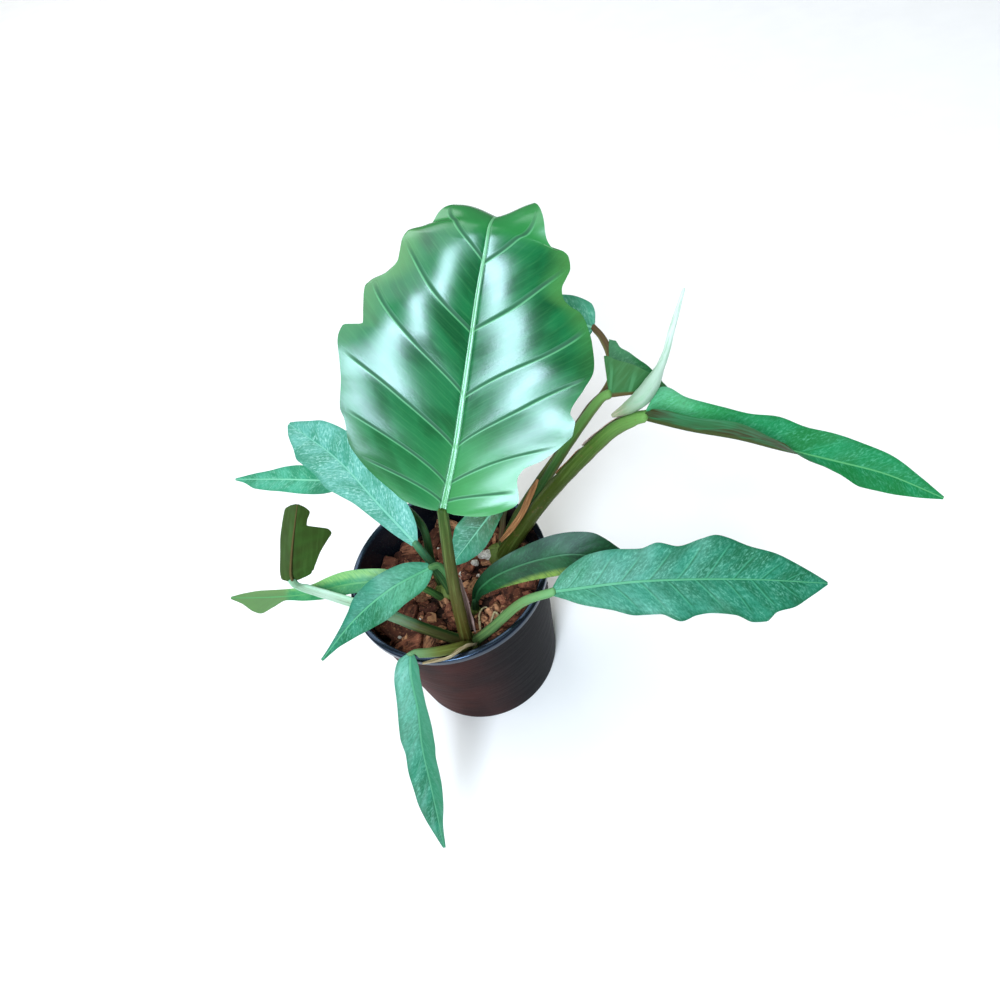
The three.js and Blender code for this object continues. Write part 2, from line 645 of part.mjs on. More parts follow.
// A solid back as a geometry.
function geometryOf(solid) {
  const mesh = solid.getMesh();
  const geometry = new THREE.BufferGeometry();
  geometry.setAttribute("position", new THREE.BufferAttribute(mesh.vertProperties, 3));
  geometry.setIndex(new THREE.BufferAttribute(mesh.triVerts, 1));
  geometry.computeVertexNormals();
  return geometry;
}

// Repeatable random numbers between 0 and 1, and between two limits
let randomState = 20;
function random() {
  randomState = (randomState * 1664525 + 1013904223) % 2 ** 32;
  return randomState / 2 ** 32;
}
const between = ([low, high]) => low + (high - low) * random();

// The pot's wall, outside and inside, at a height
function outerRadius(z) {
  const top = RIM_RADIUS - RIM_LIP;
  return THREE.MathUtils.mapLinear(z, 0, POT_HEIGHT - RIM_HEIGHT, BASE_RADIUS, top);
}
const innerRadius = (z) => outerRadius(z) - POT_WALL;

// The pot: a cone with a thick rolled rim and a ring of drain holes in its floor.
function potGeometry() {
  const lipBottom = POT_HEIGHT - RIM_HEIGHT;
  const profile = [
    [0, 0],
    [BASE_RADIUS - EDGE_ROUND, 0],
    [BASE_RADIUS, EDGE_ROUND],
    [outerRadius(lipBottom), lipBottom],
    [RIM_RADIUS - EDGE_ROUND / 2, lipBottom + EDGE_ROUND / 4],
    [RIM_RADIUS, lipBottom + EDGE_ROUND],
    [RIM_RADIUS, POT_HEIGHT - EDGE_ROUND],
    [RIM_RADIUS - EDGE_ROUND, POT_HEIGHT],
    [innerRadius(POT_HEIGHT) + EDGE_ROUND, POT_HEIGHT],
    [innerRadius(POT_HEIGHT), POT_HEIGHT - EDGE_ROUND],
    [innerRadius(POT_FLOOR), POT_FLOOR],
    [0, POT_FLOOR],
  ];
  let pot = solidOf(turned(profile, POT_SEGMENTS));
  for (let k = 0; k < DRAIN_HOLES; k += 1) {
    const angle = (2 * Math.PI * k) / DRAIN_HOLES;
    const hole = new THREE.CylinderGeometry(DRAIN_RADIUS, DRAIN_RADIUS, 3 * POT_FLOOR, DRAIN_SIDES);
    hole.rotateX(Math.PI / 2);
    hole.translate(DRAIN_CIRCLE * Math.cos(angle), DRAIN_CIRCLE * Math.sin(angle), 0);
    pot = pot.subtract(solidOf(hole));
  }
  return geometryOf(pot);
}

// The height of the mix under a point: higher towards the front, with low humps.
function mixHeight(x, y) {
  const hump = Math.sin(x / HUMP_SPREAD[0] + HUMP_SHIFT) * Math.cos(y / HUMP_SPREAD[1]);
  return MIX_MIDDLE + MIX_SLOPE * y + HUMP_HEIGHT * hump;
}

// The bed of mix under the chips, filling the pot to its humped top.
function mixBed() {
  const positions = [0, 0, mixHeight(0, 0)];
  const ringPoint = (share, k) => {
    const angle = (2 * Math.PI * k) / MIX_SECTORS;
    const reach = (innerRadius(MIX_MIDDLE) - 1) * share;
    const x = reach * Math.cos(angle);
    const y = reach * Math.sin(angle);
    return [x, y, mixHeight(x, y)];
  };
  for (const share of MIX_RINGS) {
    for (let k = 0; k < MIX_SECTORS; k += 1) positions.push(...ringPoint(share, k));
  }
  const low = POT_FLOOR + GAP;
  const lowReach = innerRadius(low) - 1;
  for (let k = 0; k < MIX_SECTORS; k += 1) {
    const angle = (2 * Math.PI * k) / MIX_SECTORS;
    positions.push(lowReach * Math.cos(angle), lowReach * Math.sin(angle), low);
  }
  positions.push(0, 0, low);
  const lowCentre = positions.length / 3 - 1;
  const at = (ring, k) => 1 + ring * MIX_SECTORS + (k % MIX_SECTORS);
  const faces = [];
  for (let k = 0; k < MIX_SECTORS; k += 1) {
    faces.push(0, at(0, k), at(0, k + 1));
    for (let ring = 0; ring < MIX_RINGS.length; ring += 1) {
      faces.push(at(ring, k), at(ring + 1, k), at(ring + 1, k + 1));
      faces.push(at(ring, k), at(ring + 1, k + 1), at(ring, k + 1));
    }
    faces.push(lowCentre, at(MIX_RINGS.length, k + 1), at(MIX_RINGS.length, k));
  }
  const geometry = new THREE.BufferGeometry();
  geometry.setAttribute("position", new THREE.Float32BufferAttribute(positions, 3));
  geometry.setIndex(faces);
  return solidOf(geometry);
}

// Points of stalks and blades that pass low over the mix, with the room that each needs.
function lowPoints() {
  const points = [];
  for (const leaf of Object.values(LEAVES)) {
    const stalk = new THREE.CatmullRomCurve3(leaf.petiole.map(vector));
    for (let i = 0; i <= STALK_CHECKS; i += 1) {
      const u = i / STALK_CHECKS;
      points.push({ at: stalk.getPointAt(u), room: along(leaf.radius, u) });
      const half = Math.max(smoothThrough(leaf.left, u), smoothThrough(leaf.right, u));
      points.push({ at: bladeFrame(leaf, u).at, room: half });
    }
  }
  return points;
}

// A block of bark with uneven corners, lying nearly flat.
function chipSolid(x, y, z, size) {
  const box = new THREE.BoxGeometry(...size);
  box.deleteAttribute("normal");
  box.deleteAttribute("uv");
  const block = mergeVertices(box);
  const corners = block.attributes.position;
  for (let i = 0; i < corners.count; i += 1) {
    const jitter = [0, 1, 2].map((axis) => size[axis] * between([-CHIP_UNEVENNESS, CHIP_UNEVENNESS]));
    corners.setXYZ(i, corners.getX(i) + jitter[0], corners.getY(i) + jitter[1], corners.getZ(i) + jitter[2]);
  }
  block.rotateX(between([-CHIP_TILT, CHIP_TILT]));
  block.rotateY(between([-CHIP_TILT, CHIP_TILT]));
  block.rotateZ(between([0, Math.PI]));
  block.translate(x, y, z);
  return solidOf(block);
}

// The mix: its bed, chips half sunk in the top, and a plain hole for each crown. A scrap of chip
// that the holes cut loose is left out.
function mixGeometry() {
  const inside = [
    [0, POT_FLOOR + GAP],
    [innerRadius(POT_FLOOR) - GAP, POT_FLOOR + GAP],
    [innerRadius(POT_HEIGHT) - GAP, POT_HEIGHT],
    [0, POT_HEIGHT],
  ];
  const stems = lowPoints();
  const golden = Math.PI * (3 - Math.sqrt(5));
  const pieces = [mixBed()];
  for (let i = 0; i < CHIP_PLACES; i += 1) {
    const reach = (innerRadius(MIX_MIDDLE) - 4) * Math.sqrt((i + 0.5) / CHIP_PLACES);
    const x = reach * Math.cos(i * golden);
    const y = reach * Math.sin(i * golden);
    const size = [between(CHIP_LENGTH), between(CHIP_BREADTH), between(CHIP_DEPTH)];
    const z = mixHeight(x, y) + size[2] * between(CHIP_RISE);
    const top = z + size[2] / 2 + (CHIP_TILT * size[0]) / 2;
    const blocked = stems.some(
      ({ at, room }) =>
        Math.hypot(at.x - x, at.y - y) < size[0] / 2 + room + CHIP_CLEARANCE &&
        at.z - room / 2 - 2 * CHIP_CLEARANCE < top &&
        at.z > z - CHIP_DEPTH_BELOW,
    );
    const chip = chipSolid(x, y, z, size);
    if (!blocked) pieces.push(chip);
  }
  let mix = wasm.Manifold.union(pieces).intersect(solidOf(turned(inside, POT_SEGMENTS)));
  for (const { x, y, radius } of Object.values(SHOOTS)) {
    const reach = radius + HOLE_CLEARANCE;
    const hole = new THREE.CylinderGeometry(reach, reach, POT_HEIGHT, HOLE_SIDES);
    hole.rotateX(Math.PI / 2);
    hole.translate(x, y, CROWN_BOTTOM - GAP + POT_HEIGHT / 2);
    mix = mix.subtract(solidOf(hole));
  }
  const bodies = mix.decompose().sort((a, b) => b.volume() - a.volume());
  return geometryOf(bodies[0]);
}

// A crown and the stalks that grow from it, joined in one body.
function shootGeometry({ x, y, radius, top, leaves }) {
  const profile = [
    [0, CROWN_BOTTOM],
    [0.8 * radius, CROWN_BOTTOM],
    [radius, CROWN_BOTTOM + 0.8 * radius],
    [radius, top - 0.7 * radius],
    [0.5 * radius, top],
    [0, top],
  ];
  const crown = solidOf(turned(profile, CROWN_SEGMENTS).translate(x, y, 0));
  const stalks = leaves.map((name) => {
    const leaf = LEAVES[name];
    return solidOf(stalkGeometry(leaf.petiole, leaf.radius, bladeFrame(leaf, 0).ahead));
  });
  return geometryOf(wasm.Manifold.union([crown, ...stalks]));
}

// A sheath as a short blade with both halves raised to a trough.
function sheathGeometry(sheath) {
  return bladeGeometry({
    ...sheath,
    fold: [SHEATH_FOLD, SHEATH_FOLD],
    curl: [0, 0],
    ripple: [0, 1, 0],
    stations: SHEATH_STATIONS,
    spans: [0.5, 1],
    rib: 0,
  });
}

function addPart(group, name, geometry, colour, roughness) {
  const material = new THREE.MeshStandardMaterial({ color: colour, roughness, metalness: 0 });
  const mesh = new THREE.Mesh(geometry, material);
  mesh.name = name;
  group.add(mesh);
}

const plant = new THREE.Group();
addPart(plant, "pot", potGeometry(), POT_BROWN, 0.35);
addPart(plant, "potting_mix", mixGeometry(), BARK_BROWN, 0.95);
for (const [name, crown] of Object.entries(SHOOTS)) {
  addPart(plant, `shoot_${name}`, shootGeometry(crown), STEM_OLIVE, 0.5);
}
for (const [name, leaf] of Object.entries(LEAVES)) {
  addPart(plant, `leaf_${name}`, bladeGeometry(leaf), leaf.colour, leaf.quilt ? 0.25 : 0.55);
}
for (const [name, sheath] of Object.entries(SHEATHS)) {
  addPart(plant, `sheath_${name}`, sheathGeometry(sheath), sheath.colour, 0.8);
}
addPart(plant, "leaf_spear", stalkGeometry(SPEAR_POINTS, SPEAR_RADII), NEW_LEAF_WHITE, 0.45);

export default plant;
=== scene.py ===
"""A potted philodendron: mottled leaves on short shoots, bark mix and a round nursery pot.

Lengths are in millimetres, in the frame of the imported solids, and new_piece turns them into metres.
"""

import itertools
import json
import math

import bpy
import numpy as np
from mathutils import Matrix

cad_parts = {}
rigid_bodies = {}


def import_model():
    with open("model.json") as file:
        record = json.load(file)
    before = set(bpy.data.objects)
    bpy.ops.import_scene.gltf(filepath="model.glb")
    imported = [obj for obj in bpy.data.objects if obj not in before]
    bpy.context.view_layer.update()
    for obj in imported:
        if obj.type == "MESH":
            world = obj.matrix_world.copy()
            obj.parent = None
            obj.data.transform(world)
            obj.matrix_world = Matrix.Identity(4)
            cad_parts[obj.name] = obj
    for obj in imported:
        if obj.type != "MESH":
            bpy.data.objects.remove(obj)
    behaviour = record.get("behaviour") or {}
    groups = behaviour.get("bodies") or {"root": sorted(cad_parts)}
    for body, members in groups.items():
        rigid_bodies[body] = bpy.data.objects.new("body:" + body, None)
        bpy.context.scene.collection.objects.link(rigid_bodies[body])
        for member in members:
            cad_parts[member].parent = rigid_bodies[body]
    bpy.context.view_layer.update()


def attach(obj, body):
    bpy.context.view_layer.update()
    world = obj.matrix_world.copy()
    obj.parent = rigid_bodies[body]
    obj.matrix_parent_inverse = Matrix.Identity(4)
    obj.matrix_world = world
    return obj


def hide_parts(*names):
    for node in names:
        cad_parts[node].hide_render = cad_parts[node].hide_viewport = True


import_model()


MM = 0.001

FINE = 1.0

# The camera: where it stands, which way it looks and how its picture is turned
CAMERA_PLACE = (42, -244, 453)
CAMERA_DOWN = 50.7
CAMERA_ROLL = -18.0
FOCAL_SHARE = 0.71
SENSOR = 36.0

# Lights, in metres and watts: place, aim, size, power and colour
LIGHTS = {
    "window": ((-0.685, -1.92, 2.025), (0.05, 0.0, 0.24), (0.81, 2.1), 104, "#e8f2ff"),
    "overhead": ((-0.76, 0.45, 2.5), (0.02, 0, 0.1), (2.7, 2.7), 40, "#ffffff"),
    "far_floor": ((-0.95, 2.5, 2.4), (-0.95, 2.6, 0), (2.4, 2.4), 42, "#ffffff"),
}
WORLD_STRENGTH = 0.16
FLOOR_SIZE = 16
SKY = "#e0faff"

# Blades, as in the solids: lobes evened out over a share of the length, side veins and edge ripples
CURVE_SAMPLES = 900
BROAD_SPAN = 0.2
BROAD_STEPS = 15
VEIN_BEND = 0.9
VEIN_SLANT = 0.16
LEFT_VEIN_SHIFT = 0.35
LEFT_WAVE_SHIFT = 1.9
QUILT = 0.3
QUILT_AT_TIP = 0.2
FLAT = (0, 0)

# Across a blade: grid lines beside the middle rib, its ridge and the groove past it in half rib
# widths, the widest share of a half that it takes, its taper, and half the blade's thickness
NEAR_RIB = np.array([0.25, 0.5, 0.75, 0.9, 1.0, 1.12, 1.35])
RIDGE = 0.16
GROOVE = 0.14
GROOVE_PLACE = 1.15
GROOVE_BREADTH = 0.25
RIB_SHARE = 0.3
RIB_TAPER = 0.7
KEEL_TAPER = 0.8
EDGE_THICK = 0.18
INNER_THICK = 0.22

# Half width of the middle rib, and what each millimetre of its depth adds. How the columns of a
# grid open towards the margin, how far out side veins run, and how close they are across them
RIB_WIDTH = 0.5
RIB_WIDTH_PER_DEPTH = 0.16
COLUMN_SPREAD = 1.1
BOW_LIMIT = 1.1
VEIN_LEAN = 0.7
QUILTED_VEIN_LEAN = 0.8

# Rows and columns of the blades' grids, and sides and steps of the tubes
BLADE_ROWS, BLADE_COLUMNS = 140, 22
SHEATH_ROWS, SHEATH_COLUMNS = 70, 10
WRAP_ROWS, WRAP_COLUMNS = 60, 14
STALK_SIDES, STALK_STEPS_PER_MM = 20, 0.7
SPEAR_SIDES, SPEAR_STEPS = 32, 90
ROOT_SIDES, ROOT_STEPS = 10, 50
CROWN_SIDES, CROWN_RINGS = 28, 14

# Fine veins between two side veins of the big leaf
FINE_VEINS = 6

# Tubes: the groove of a stalk, the seam of a rolled leaf, the waves of an uneven one, in turns for
# a length and round it, and the domes that close both ends
STALK_GROOVE = 0.13
STALK_GROOVE_ANGLE = 0.32
SEAM_START = 1.2
SEAM_TWIST = 2.4
SPEAR_SEAM = 0.16
END_BLEND = 0.1
TUBE_FACE = (0.0, -0.4, 1.0)
WOBBLE_TURNS = 9
WOBBLE_LENGTH = 20
WOBBLE_ROUND = 2
STALK_WOBBLE = 0.015
ROOT_WOBBLE = 0.08
DOME_LIFTS = (0.55, 0.85, 0.98)
DOME_DEPTH = 0.6

# Pot
POT_HEIGHT = 110
RIM_RADIUS = 60
BASE_RADIUS = 49.5
POT_WALL = 1.6
POT_FLOOR = 3
RIM_HEIGHT = 5
RIM_LIP = 2.6
RIM_ROUND = 1.2
FOOT_ROUND = 1.6
POT_SEGMENTS = 160
DRAIN_HOLES = 8
DRAIN_RADIUS = 4
DRAIN_CIRCLE = 33
DRAIN_CUT = 12

# Bark mix
MIX_MIDDLE = 88
MIX_SLOPE = -0.09
HUMP_HEIGHT = 1.2
HUMP_SPREAD = (9, 8)
HUMP_SHIFT = 1.3
GAP = 0.3
CHIP_SEED = 7
CHIP_PLACES = 60
CHIP_LENGTH = (11, 18)
CHIP_BREADTH = (8, 13)
CHIP_DEPTH = (5, 8)
CHIP_TILT = 0.4
CHIP_UNEVENNESS = 0.14
CHIP_RISE = (0.05, 0.3)
CHIP_CLEARANCE = 1.5
CHIP_ROOM_ABOVE = 3
CHIP_DEPTH_BELOW = 12
CHIP_TIP_RISE = 0.45
SMALL_CHIPS = 420
SMALL_CHIP_LENGTH = (2.5, 8.0)
SMALL_CHIP_BREADTH = (0.5, 0.9)
SMALL_CHIP_DEPTH = (0.3, 0.6)
SMALL_CHIP_RISE = (0.1, 0.5)
SMALL_CHIP_UNEVENNESS = 0.1
SMALL_CHIP_TILT = 0.7
LUMP_FREQUENCY = 0.55
LUMP_HEIGHT = 0.35
LAYER_SPACING = 1.5
LAYER_HEIGHT = 1.2
BED_SIDES = 96
BED_RINGS = 30
BED_LUMPS = 0.8
CUBE_CORNERS = [
    (1, 1, 1), (1, 1, -1), (1, -1, 1), (1, -1, -1), (-1, 1, -1), (-1, 1, 1), (-1, -1, -1), (-1, -1, 1),
]

# Pumice where the photograph shows it, as place and size across, and the number of small grains
PUMICE = [
    (29, -32, 93, 7), (24, -35, 92, 4), (26, 12, 92, 8), (20, 15, 91, 7), (15, 11, 90.5, 5), (36, -8, 90, 5),
]
PUMICE_SEED = 11
SMALL_PUMICE = 26
PUMICE_REACH = 50
PUMICE_RISE = 1.2
PUMICE_ACROSS = (1.8, 3.6)
PUMICE_BREADTH = (0.7, 0.9)
PUMICE_DEPTH = (0.6, 0.8)
PUMICE_UNEVENNESS = 0.12
PUMICE_TILT = 0.6

# Thin roots on the mix
ROOTS = [
    [(14, -36, 92), (19, -31, 97), (21, -34, 96), (24, -32, 97), (26, -36, 95), (30, -37, 92)],
    [(8, -36, 92), (10, -28, 95), (14, -24, 94), (17, -26, 92)],
]
ROOT_RADII = (0.7, 0.6, 0.3)

# Crowns in the mix, each with the leaves that grow from it
CROWN_BOTTOM = 64
SHOOTS = {
    "front": dict(
        x=-0.5, y=-43, radius=7, top=98, leaves=("big", "right_low", "front_left", "folded_left", "hanging"),
    ),
    "middle": dict(x=-7, y=-2, radius=7, top=94, leaves=("upper_left", "far_left", "long_left")),
    "back": dict(x=31, y=12, radius=8.5, top=95, leaves=("right_top", "back_right", "centre", "behind_big")),
    "right": dict(x=8, y=-22, radius=3.6, top=93, leaves=("behind_right",)),
}

# The new leaf, still rolled
SPEAR_POINTS = [
    (111.5, 8.5, 182), (119.5, 5, 188), (126, 2, 196), (131.5, 0.5, 206), (137, -0.5, 220), (141, 0.5, 233),
    (148, 3.5, 251),
]
SPEAR_RADII = (1.2, 3.7, 4.7, 4.1, 2.2, 1.7, 1.5, 1.1, 0.6)

# Colours of the blades' skins
SKIN_PARTS = ("deep", "middle", "pale", "vein", "rib", "under")
SKINS = {
    "glossy": ("#055026", "#0a6a36", "#52a860", "#4ca062", "#68b078", "#7aa676"),
    "teal": ("#0a5f38", "#237d5e", "#70bea2", "#48a27c", "#58ae7c", "#6c8c5c"),
    "bright": ("#067030", "#12804a", "#58b488", "#40a470", "#58aa6a", "#34340f"),
    "grey": ("#14602a", "#286a38", "#529060", "#4f8c5c", "#7ca474", "#3c6a3c"),
    "mint": ("#1f8058", "#44a080", "#8ed2b8", "#74c4a0", "#7cc8a4", "#6c9476"),
    "blue": ("#2c8468", "#56a494", "#a8e0d4", "#7cc2b2", "#80ccb2", "#6c9476"),
    "olive": ("#284a18", "#365a22", "#527a3a", "#3c6024", "#5e6a3a", "#32461a"),
    "yellow": ("#207a48", "#3f9058", "#80bc70", "#5ca860", "#6cb068", "#5c6c3c"),
    "deep": ("#043414", "#0a4a1e", "#30784a", "#226a3c", "#3c8450", "#486638"),
}
UNDER_RIBS = {"bright": "#3c4622", "olive": "#544a2a", "grey": "#544a2a"}
PALE_UNDER_RIB = "#93b878"
BLADE_SLOTS = {"glossy": "glossy_leaf", "yellow": "yellow_leaf", "olive": "leaf_underside"}
BLADE_SEED_STEP = 11.0

# What sets each leaf's upper side apart: casts tint it from the base to a distance along, most in the
# leaf's own colour, the hanging leaf's as painted sheen and the centre leaf's as painted shade; shade
# is painted shade that darkens its right half (1) or left half (-1), streak is a band between two
# distances across, tip a colour from a distance on, and mottle, veins and rib are how strongly those show
LOOKS = {
    "big": dict(tip=(124.0, "#2c8440")),
    "right_low": dict(base_tints_and_painted_light=[("#64b8ac", 0.18, 130.0), ("#2e8048", 0.4, 36.0)], veins=0.6, rib=0.7),
    "right_top": dict(base_tints_and_painted_light=[("#2cac58", 0.5, 70.0)]),
    # The hanging leaf's pale base tint is a painted sheen, and its darker left half a painted shade.
    "hanging": dict(base_tints_and_painted_light=[("#84ccb8", 0.4, 75.0)], shade=("#23704c", 0.75, -1), rib=0.4),
    "upper_left": dict(base_tints_and_painted_light=[("#7cb8b0", 0.2, 85.0)], mottle=0.7, rib=0.55),
    # The front leaf's darker right half is a painted shade.
    "front_left": dict(base_tints_and_painted_light=[("#62b488", 0.5, 45.0)], shade=("#2a7866", 0.3, 1), rib=0.7),
    # The centre leaf's dull tint from its base is a painted shade.
    "centre": dict(base_tints_and_painted_light=[("#46603c", 1.0, 42.0)]),
    "behind_right": dict(streak=(6.5, 13.5, "#7c9c38"), mottle=0.35, veins=0.15, rib=0.5),
    "long_left": dict(streak=(1.5, 9.0, "#84b868"), tip=(72.0, "#5c7c46"), mottle=0.3, veins=0.0, rib=0.4),
}

# Colours of the crowns from a height on, and of the stalks from the crown to the blade
CROWN_TINTS = ("#6b4f38", "#77603a", "#5c7034")
CROWN_TINT_FROM = 70
STALK_TINTS = {
    "big": ("#463a17", "#464018", "#40441a", "#2e4a1a"),
    "right_low": ("#36502a", "#4f7042", "#5c844e", "#6aa268"),
    "right_top": ("#404f18", "#353f12", "#374614", "#406020", "#68984e"),
    "back_right": ("#2a4a1c", "#203f18", "#2a4f24", "#4c7c38", "#689850"),
    "front_left": ("#224824", "#2b562e", "#406e40"),
    "upper_left": ("#1f3e1c", "#2b532e", "#407a58"),
    "far_left": ("#1f3e1c", "#2b532e", "#407a58"),
    "folded_left": ("#122e10", "#1a3c1a", "#a0dcb0", "#ccf4de", "#94d0ac"),
    "long_left": ("#224824", "#407038", "#689a50"),
    "hanging": ("#4a4e18", "#565824", "#606a30", "#5e8c60"),
    "behind_right": ("#1f3e22", "#2b563a"),
    "centre": ("#543226", "#543e2e", "#405638"),
    "behind_big": ("#2a3e1c", "#36421f", "#544a2e", "#604a34"),
}

# Materials of the dry sheaths: name, middle colour, dark and light fibres
DRY_SKINS = {
    "pink": ("dry_pink_skin", "#bca29a", "#8c7068", "#d8c4bc"),
    "tan": ("dry_tan_skin", "#a8784c", "#7a5230", "#c8a070"),
    "straw": ("dry_straw_skin", "#a89c7c", "#84744c", "#ccc2a0"),
    "pale": ("pale_sheath_skin", "#d6c4b8", "#b49a88", "#e6e0d4"),
}

# Dry sheath margins left on the thick stalk: place along it, half turn and half breadth round it
WRAPS = {
    "middle": dict(start=0.5, end=0.66, turn=150, half=32, lift=0.35, skin="tan"),
    "top": dict(start=0.68, end=0.96, turn=140, half=34, lift=0.45, skin="pale"),
}
WRAP_THICKNESS = 0.3

# Leaves, as in the solids. petiole and midrib are points of the stalk and of the middle line, radius
# is the stalk's, and face is the way the blade looks. left and right are pairs of place along the
# middle line and half width. fold tilts the halves in degrees, arch bows them, quilt swells them
# between the side veins, and ripple is the height, number and start of the waves of their edges.
# veins is a number of side veins, or pairs of their start on the middle line and end at the margin
# for the left and the right, slant is how much farther up they end, and rib how deep the keel is.
LEAVES = {}

LEAVES["big"] = dict(
    petiole=[(-1, -43, 92), (2, -41, 120), (7, -34, 155), (14, -24, 190)],
    midrib=[
        (28, -11, 211), (40, 2, 231), (51, 15, 249), (61, 25, 267), (70, 33.5, 281.5), (74.5, 39.5, 287),
        (79, 48, 285), (82, 55, 277), (83.5, 59, 265),
    ],
    face=[
        (-0.05, -0.82, 0.57), (-0.05, -0.82, 0.57), (-0.05, -0.82, 0.6), (0.06, -0.5, 0.85),
        (0.1, 0.86, 0.5),
    ],
    left=[
        (0, 6), (0.012, 18), (0.04, 26), (0.077, 35.5), (0.11, 42), (0.165, 49), (0.233, 52), (0.265, 54.5),
        (0.33, 55.5), (0.39, 57.5), (0.45, 59.5), (0.482, 58), (0.496, 49), (0.54, 50), (0.585, 51),
        (0.605, 48.5), (0.63, 42), (0.665, 38), (0.715, 38.5), (0.75, 37), (0.775, 33.5), (0.79, 29.5),
        (0.815, 28), (0.845, 26), (0.88, 20), (0.94, 12), (1, 1),
    ],
    right=[
        (0, 6), (0.012, 17), (0.04, 27), (0.09, 35), (0.15, 32), (0.175, 33.5), (0.21, 41.5), (0.26, 49.5),
        (0.295, 53), (0.325, 53), (0.348, 50), (0.41, 54), (0.468, 57), (0.535, 54.5), (0.575, 51.5),
        (0.618, 46.5), (0.632, 41.5), (0.65, 38), (0.68, 36.5), (0.705, 37.5), (0.73, 38.5), (0.755, 37),
        (0.775, 33), (0.797, 29), (0.82, 24.5), (0.85, 21.5), (0.88, 18), (0.94, 11), (1, 1),
    ],
    veins=(
        [
            (0.013, 0.12), (0.07, 0.262), (0.185, 0.415), (0.34, 0.592), (0.51, 0.712), (0.7, 0.86),
            (0.86, 0.96),
        ],
        [
            (0.02, 0.11), (0.075, 0.245), (0.185, 0.44), (0.33, 0.568), (0.515, 0.722), (0.69, 0.87),
            (0.86, 0.96),
        ],
    ),
    radius=(3.8, 2.8), fold=(13.9, 11.4, 8.8, 4.3, 0.5, -1.6, -5.7, -8.6, -11.1, 27, 18),
    fold_right=(16.7, 15.5, 14.7, 14.3, 10.7, 4.5, -2.3, -8.2, -13.3, 18, 16),
    arch=(0.034, 0.023, 0.014, 0.017, 0.03, 0.074, 0.099, 0.093, 0.081, 0.032, 0),
    arch_right=(0.043, 0.014, 0, -0.003, 0.013, 0.04, 0.049, 0.045, 0.037, 0.008, 0), ripple=(0.4, 7, 0),
    quilt=0.8, rib=3, rib_width=1.5, rows=260, columns=54, skin="glossy",
)

LEAVES["right_low"] = dict(
    petiole=[(2, -44, 94), (16, -46, 107), (36, -45, 121), (54, -47, 125)],
    midrib=[(98, -59, 128), (148, -71, 119), (193, -80, 102)],
    face=[(-0.1, -0.45, 0.9), (-0.1, -0.4, 0.9)],
    left=[
        (0, 2.5), (0.03, 8), (0.08, 13), (0.15, 17), (0.23, 18), (0.32, 17), (0.38, 19.5), (0.45, 17.5),
        (0.53, 21), (0.58, 22.8), (0.63, 21.5), (0.71, 17), (0.81, 13.5), (0.93, 6), (1, 0.8),
    ],
    right=[
        (0, 2.5), (0.04, 5), (0.09, 8.5), (0.2, 13.5), (0.29, 17.5), (0.37, 17.5), (0.44, 21.5),
        (0.5, 18.5), (0.55, 17.5), (0.63, 18.5), (0.7, 22), (0.75, 21.5), (0.79, 16.5), (0.86, 13.5),
        (0.93, 7.5), (1, 0.8),
    ],
    radius=(3, 2.4), fold=(12, 6, 4), ripple=(1.5, 5, 0.1), veins=10, slant=0.11, quilt=0.5, rib=1.6,
    skin="teal",
)

LEAVES["right_top"] = dict(
    petiole=[
        (31, 9, 88), (51.5, 9.5, 114), (70, 13, 130.5), (90, 12, 151), (109, 6.5, 173), (120, -1, 184.5),
        (124, -4, 187.5),
    ],
    midrib=[
        (142, -17, 184), (165, -26, 175.5), (190, -36, 163), (212, -43, 152), (236, -51, 139),
        (262, -64, 122),
    ],
    face=[
        (0.1, 0.2, 0.95), (0.1, 0.2, 0.95), (0.1, 0.1, 0.95), (-0.2, -0.5, 0.8), (-0.2, -0.6, 0.8),
        (-0.2, -0.6, 0.8),
    ],
    left=[
        (0, 3), (0.02, 15), (0.05, 17), (0.11, 14.5), (0.21, 12.5), (0.29, 12.5), (0.4, 14), (0.5, 13.5),
        (0.6, 13), (0.75, 10.5), (0.9, 5), (1, 0.8),
    ],
    right=[
        (0, 3), (0.03, 10), (0.12, 12.5), (0.3, 13), (0.42, 9.5), (0.5, 6), (0.56, 5), (0.62, 6.5),
        (0.7, 10.5), (0.8, 9.5), (0.9, 6), (1, 0.8),
    ],
    radius=(5.6, 4.4, 4.5, 3.6), fold=(62, 60, 50, 20, 12, 10), ripple=(1, 5, 0), veins=7, rib=2,
    skin="bright",
)

LEAVES["back_right"] = dict(
    petiole=[
        (31, 14, 88), (51, 17.3, 112.7), (69, 21.5, 130.5), (85, 22.5, 152), (102, 19.5, 178),
        (109.5, 18, 187.5), (113, 17, 189.3),
    ],
    midrib=[(126, 10.7, 191), (135, 7.5, 190), (142, 5, 187.5)],
    face=[(-0.1, 0.68, 0.73), (0, 0.6, 0.8)],
    left=[(0, 6), (0.02, 28), (0.12, 28), (0.2, 24), (0.4, 19), (0.7, 12), (0.9, 5), (1, 1)],
    right=[(0, 6), (0.02, 21), (0.14, 20), (0.4, 16), (0.7, 9), (0.9, 4), (1, 1)],
    radius=(3.2, 2.8), fold=(72, 66, 40), ripple=(0.6, 3, 0), veins=3, rib=1.6, skin="grey",
)

LEAVES["front_left"] = dict(
    petiole=[(-1, -40, 92), (2, -30, 105), (2, -20, 124), (-1, -14.5, 134), (-6, -15, 136)],
    midrib=[(-29, -21, 137), (-54, -26, 127), (-80, -35, 112)],
    face=[(-0.2, -0.5, 0.85), (-0.3, -0.5, 0.8)],
    left=[
        (0, 3), (0.05, 7), (0.12, 10), (0.27, 12), (0.41, 13), (0.55, 11), (0.72, 7), (0.86, 3), (1, 0.8),
    ],
    right=[
        (0, 3), (0.06, 6), (0.16, 9), (0.27, 10), (0.39, 10.5), (0.52, 9), (0.63, 5.5), (0.76, 2.8),
        (0.9, 1.4), (1, 0.8),
    ],
    radius=(2.4, 2), fold=(12, 10), ripple=(0.8, 4, 0), veins=6, rib=1.2, skin="teal",
)

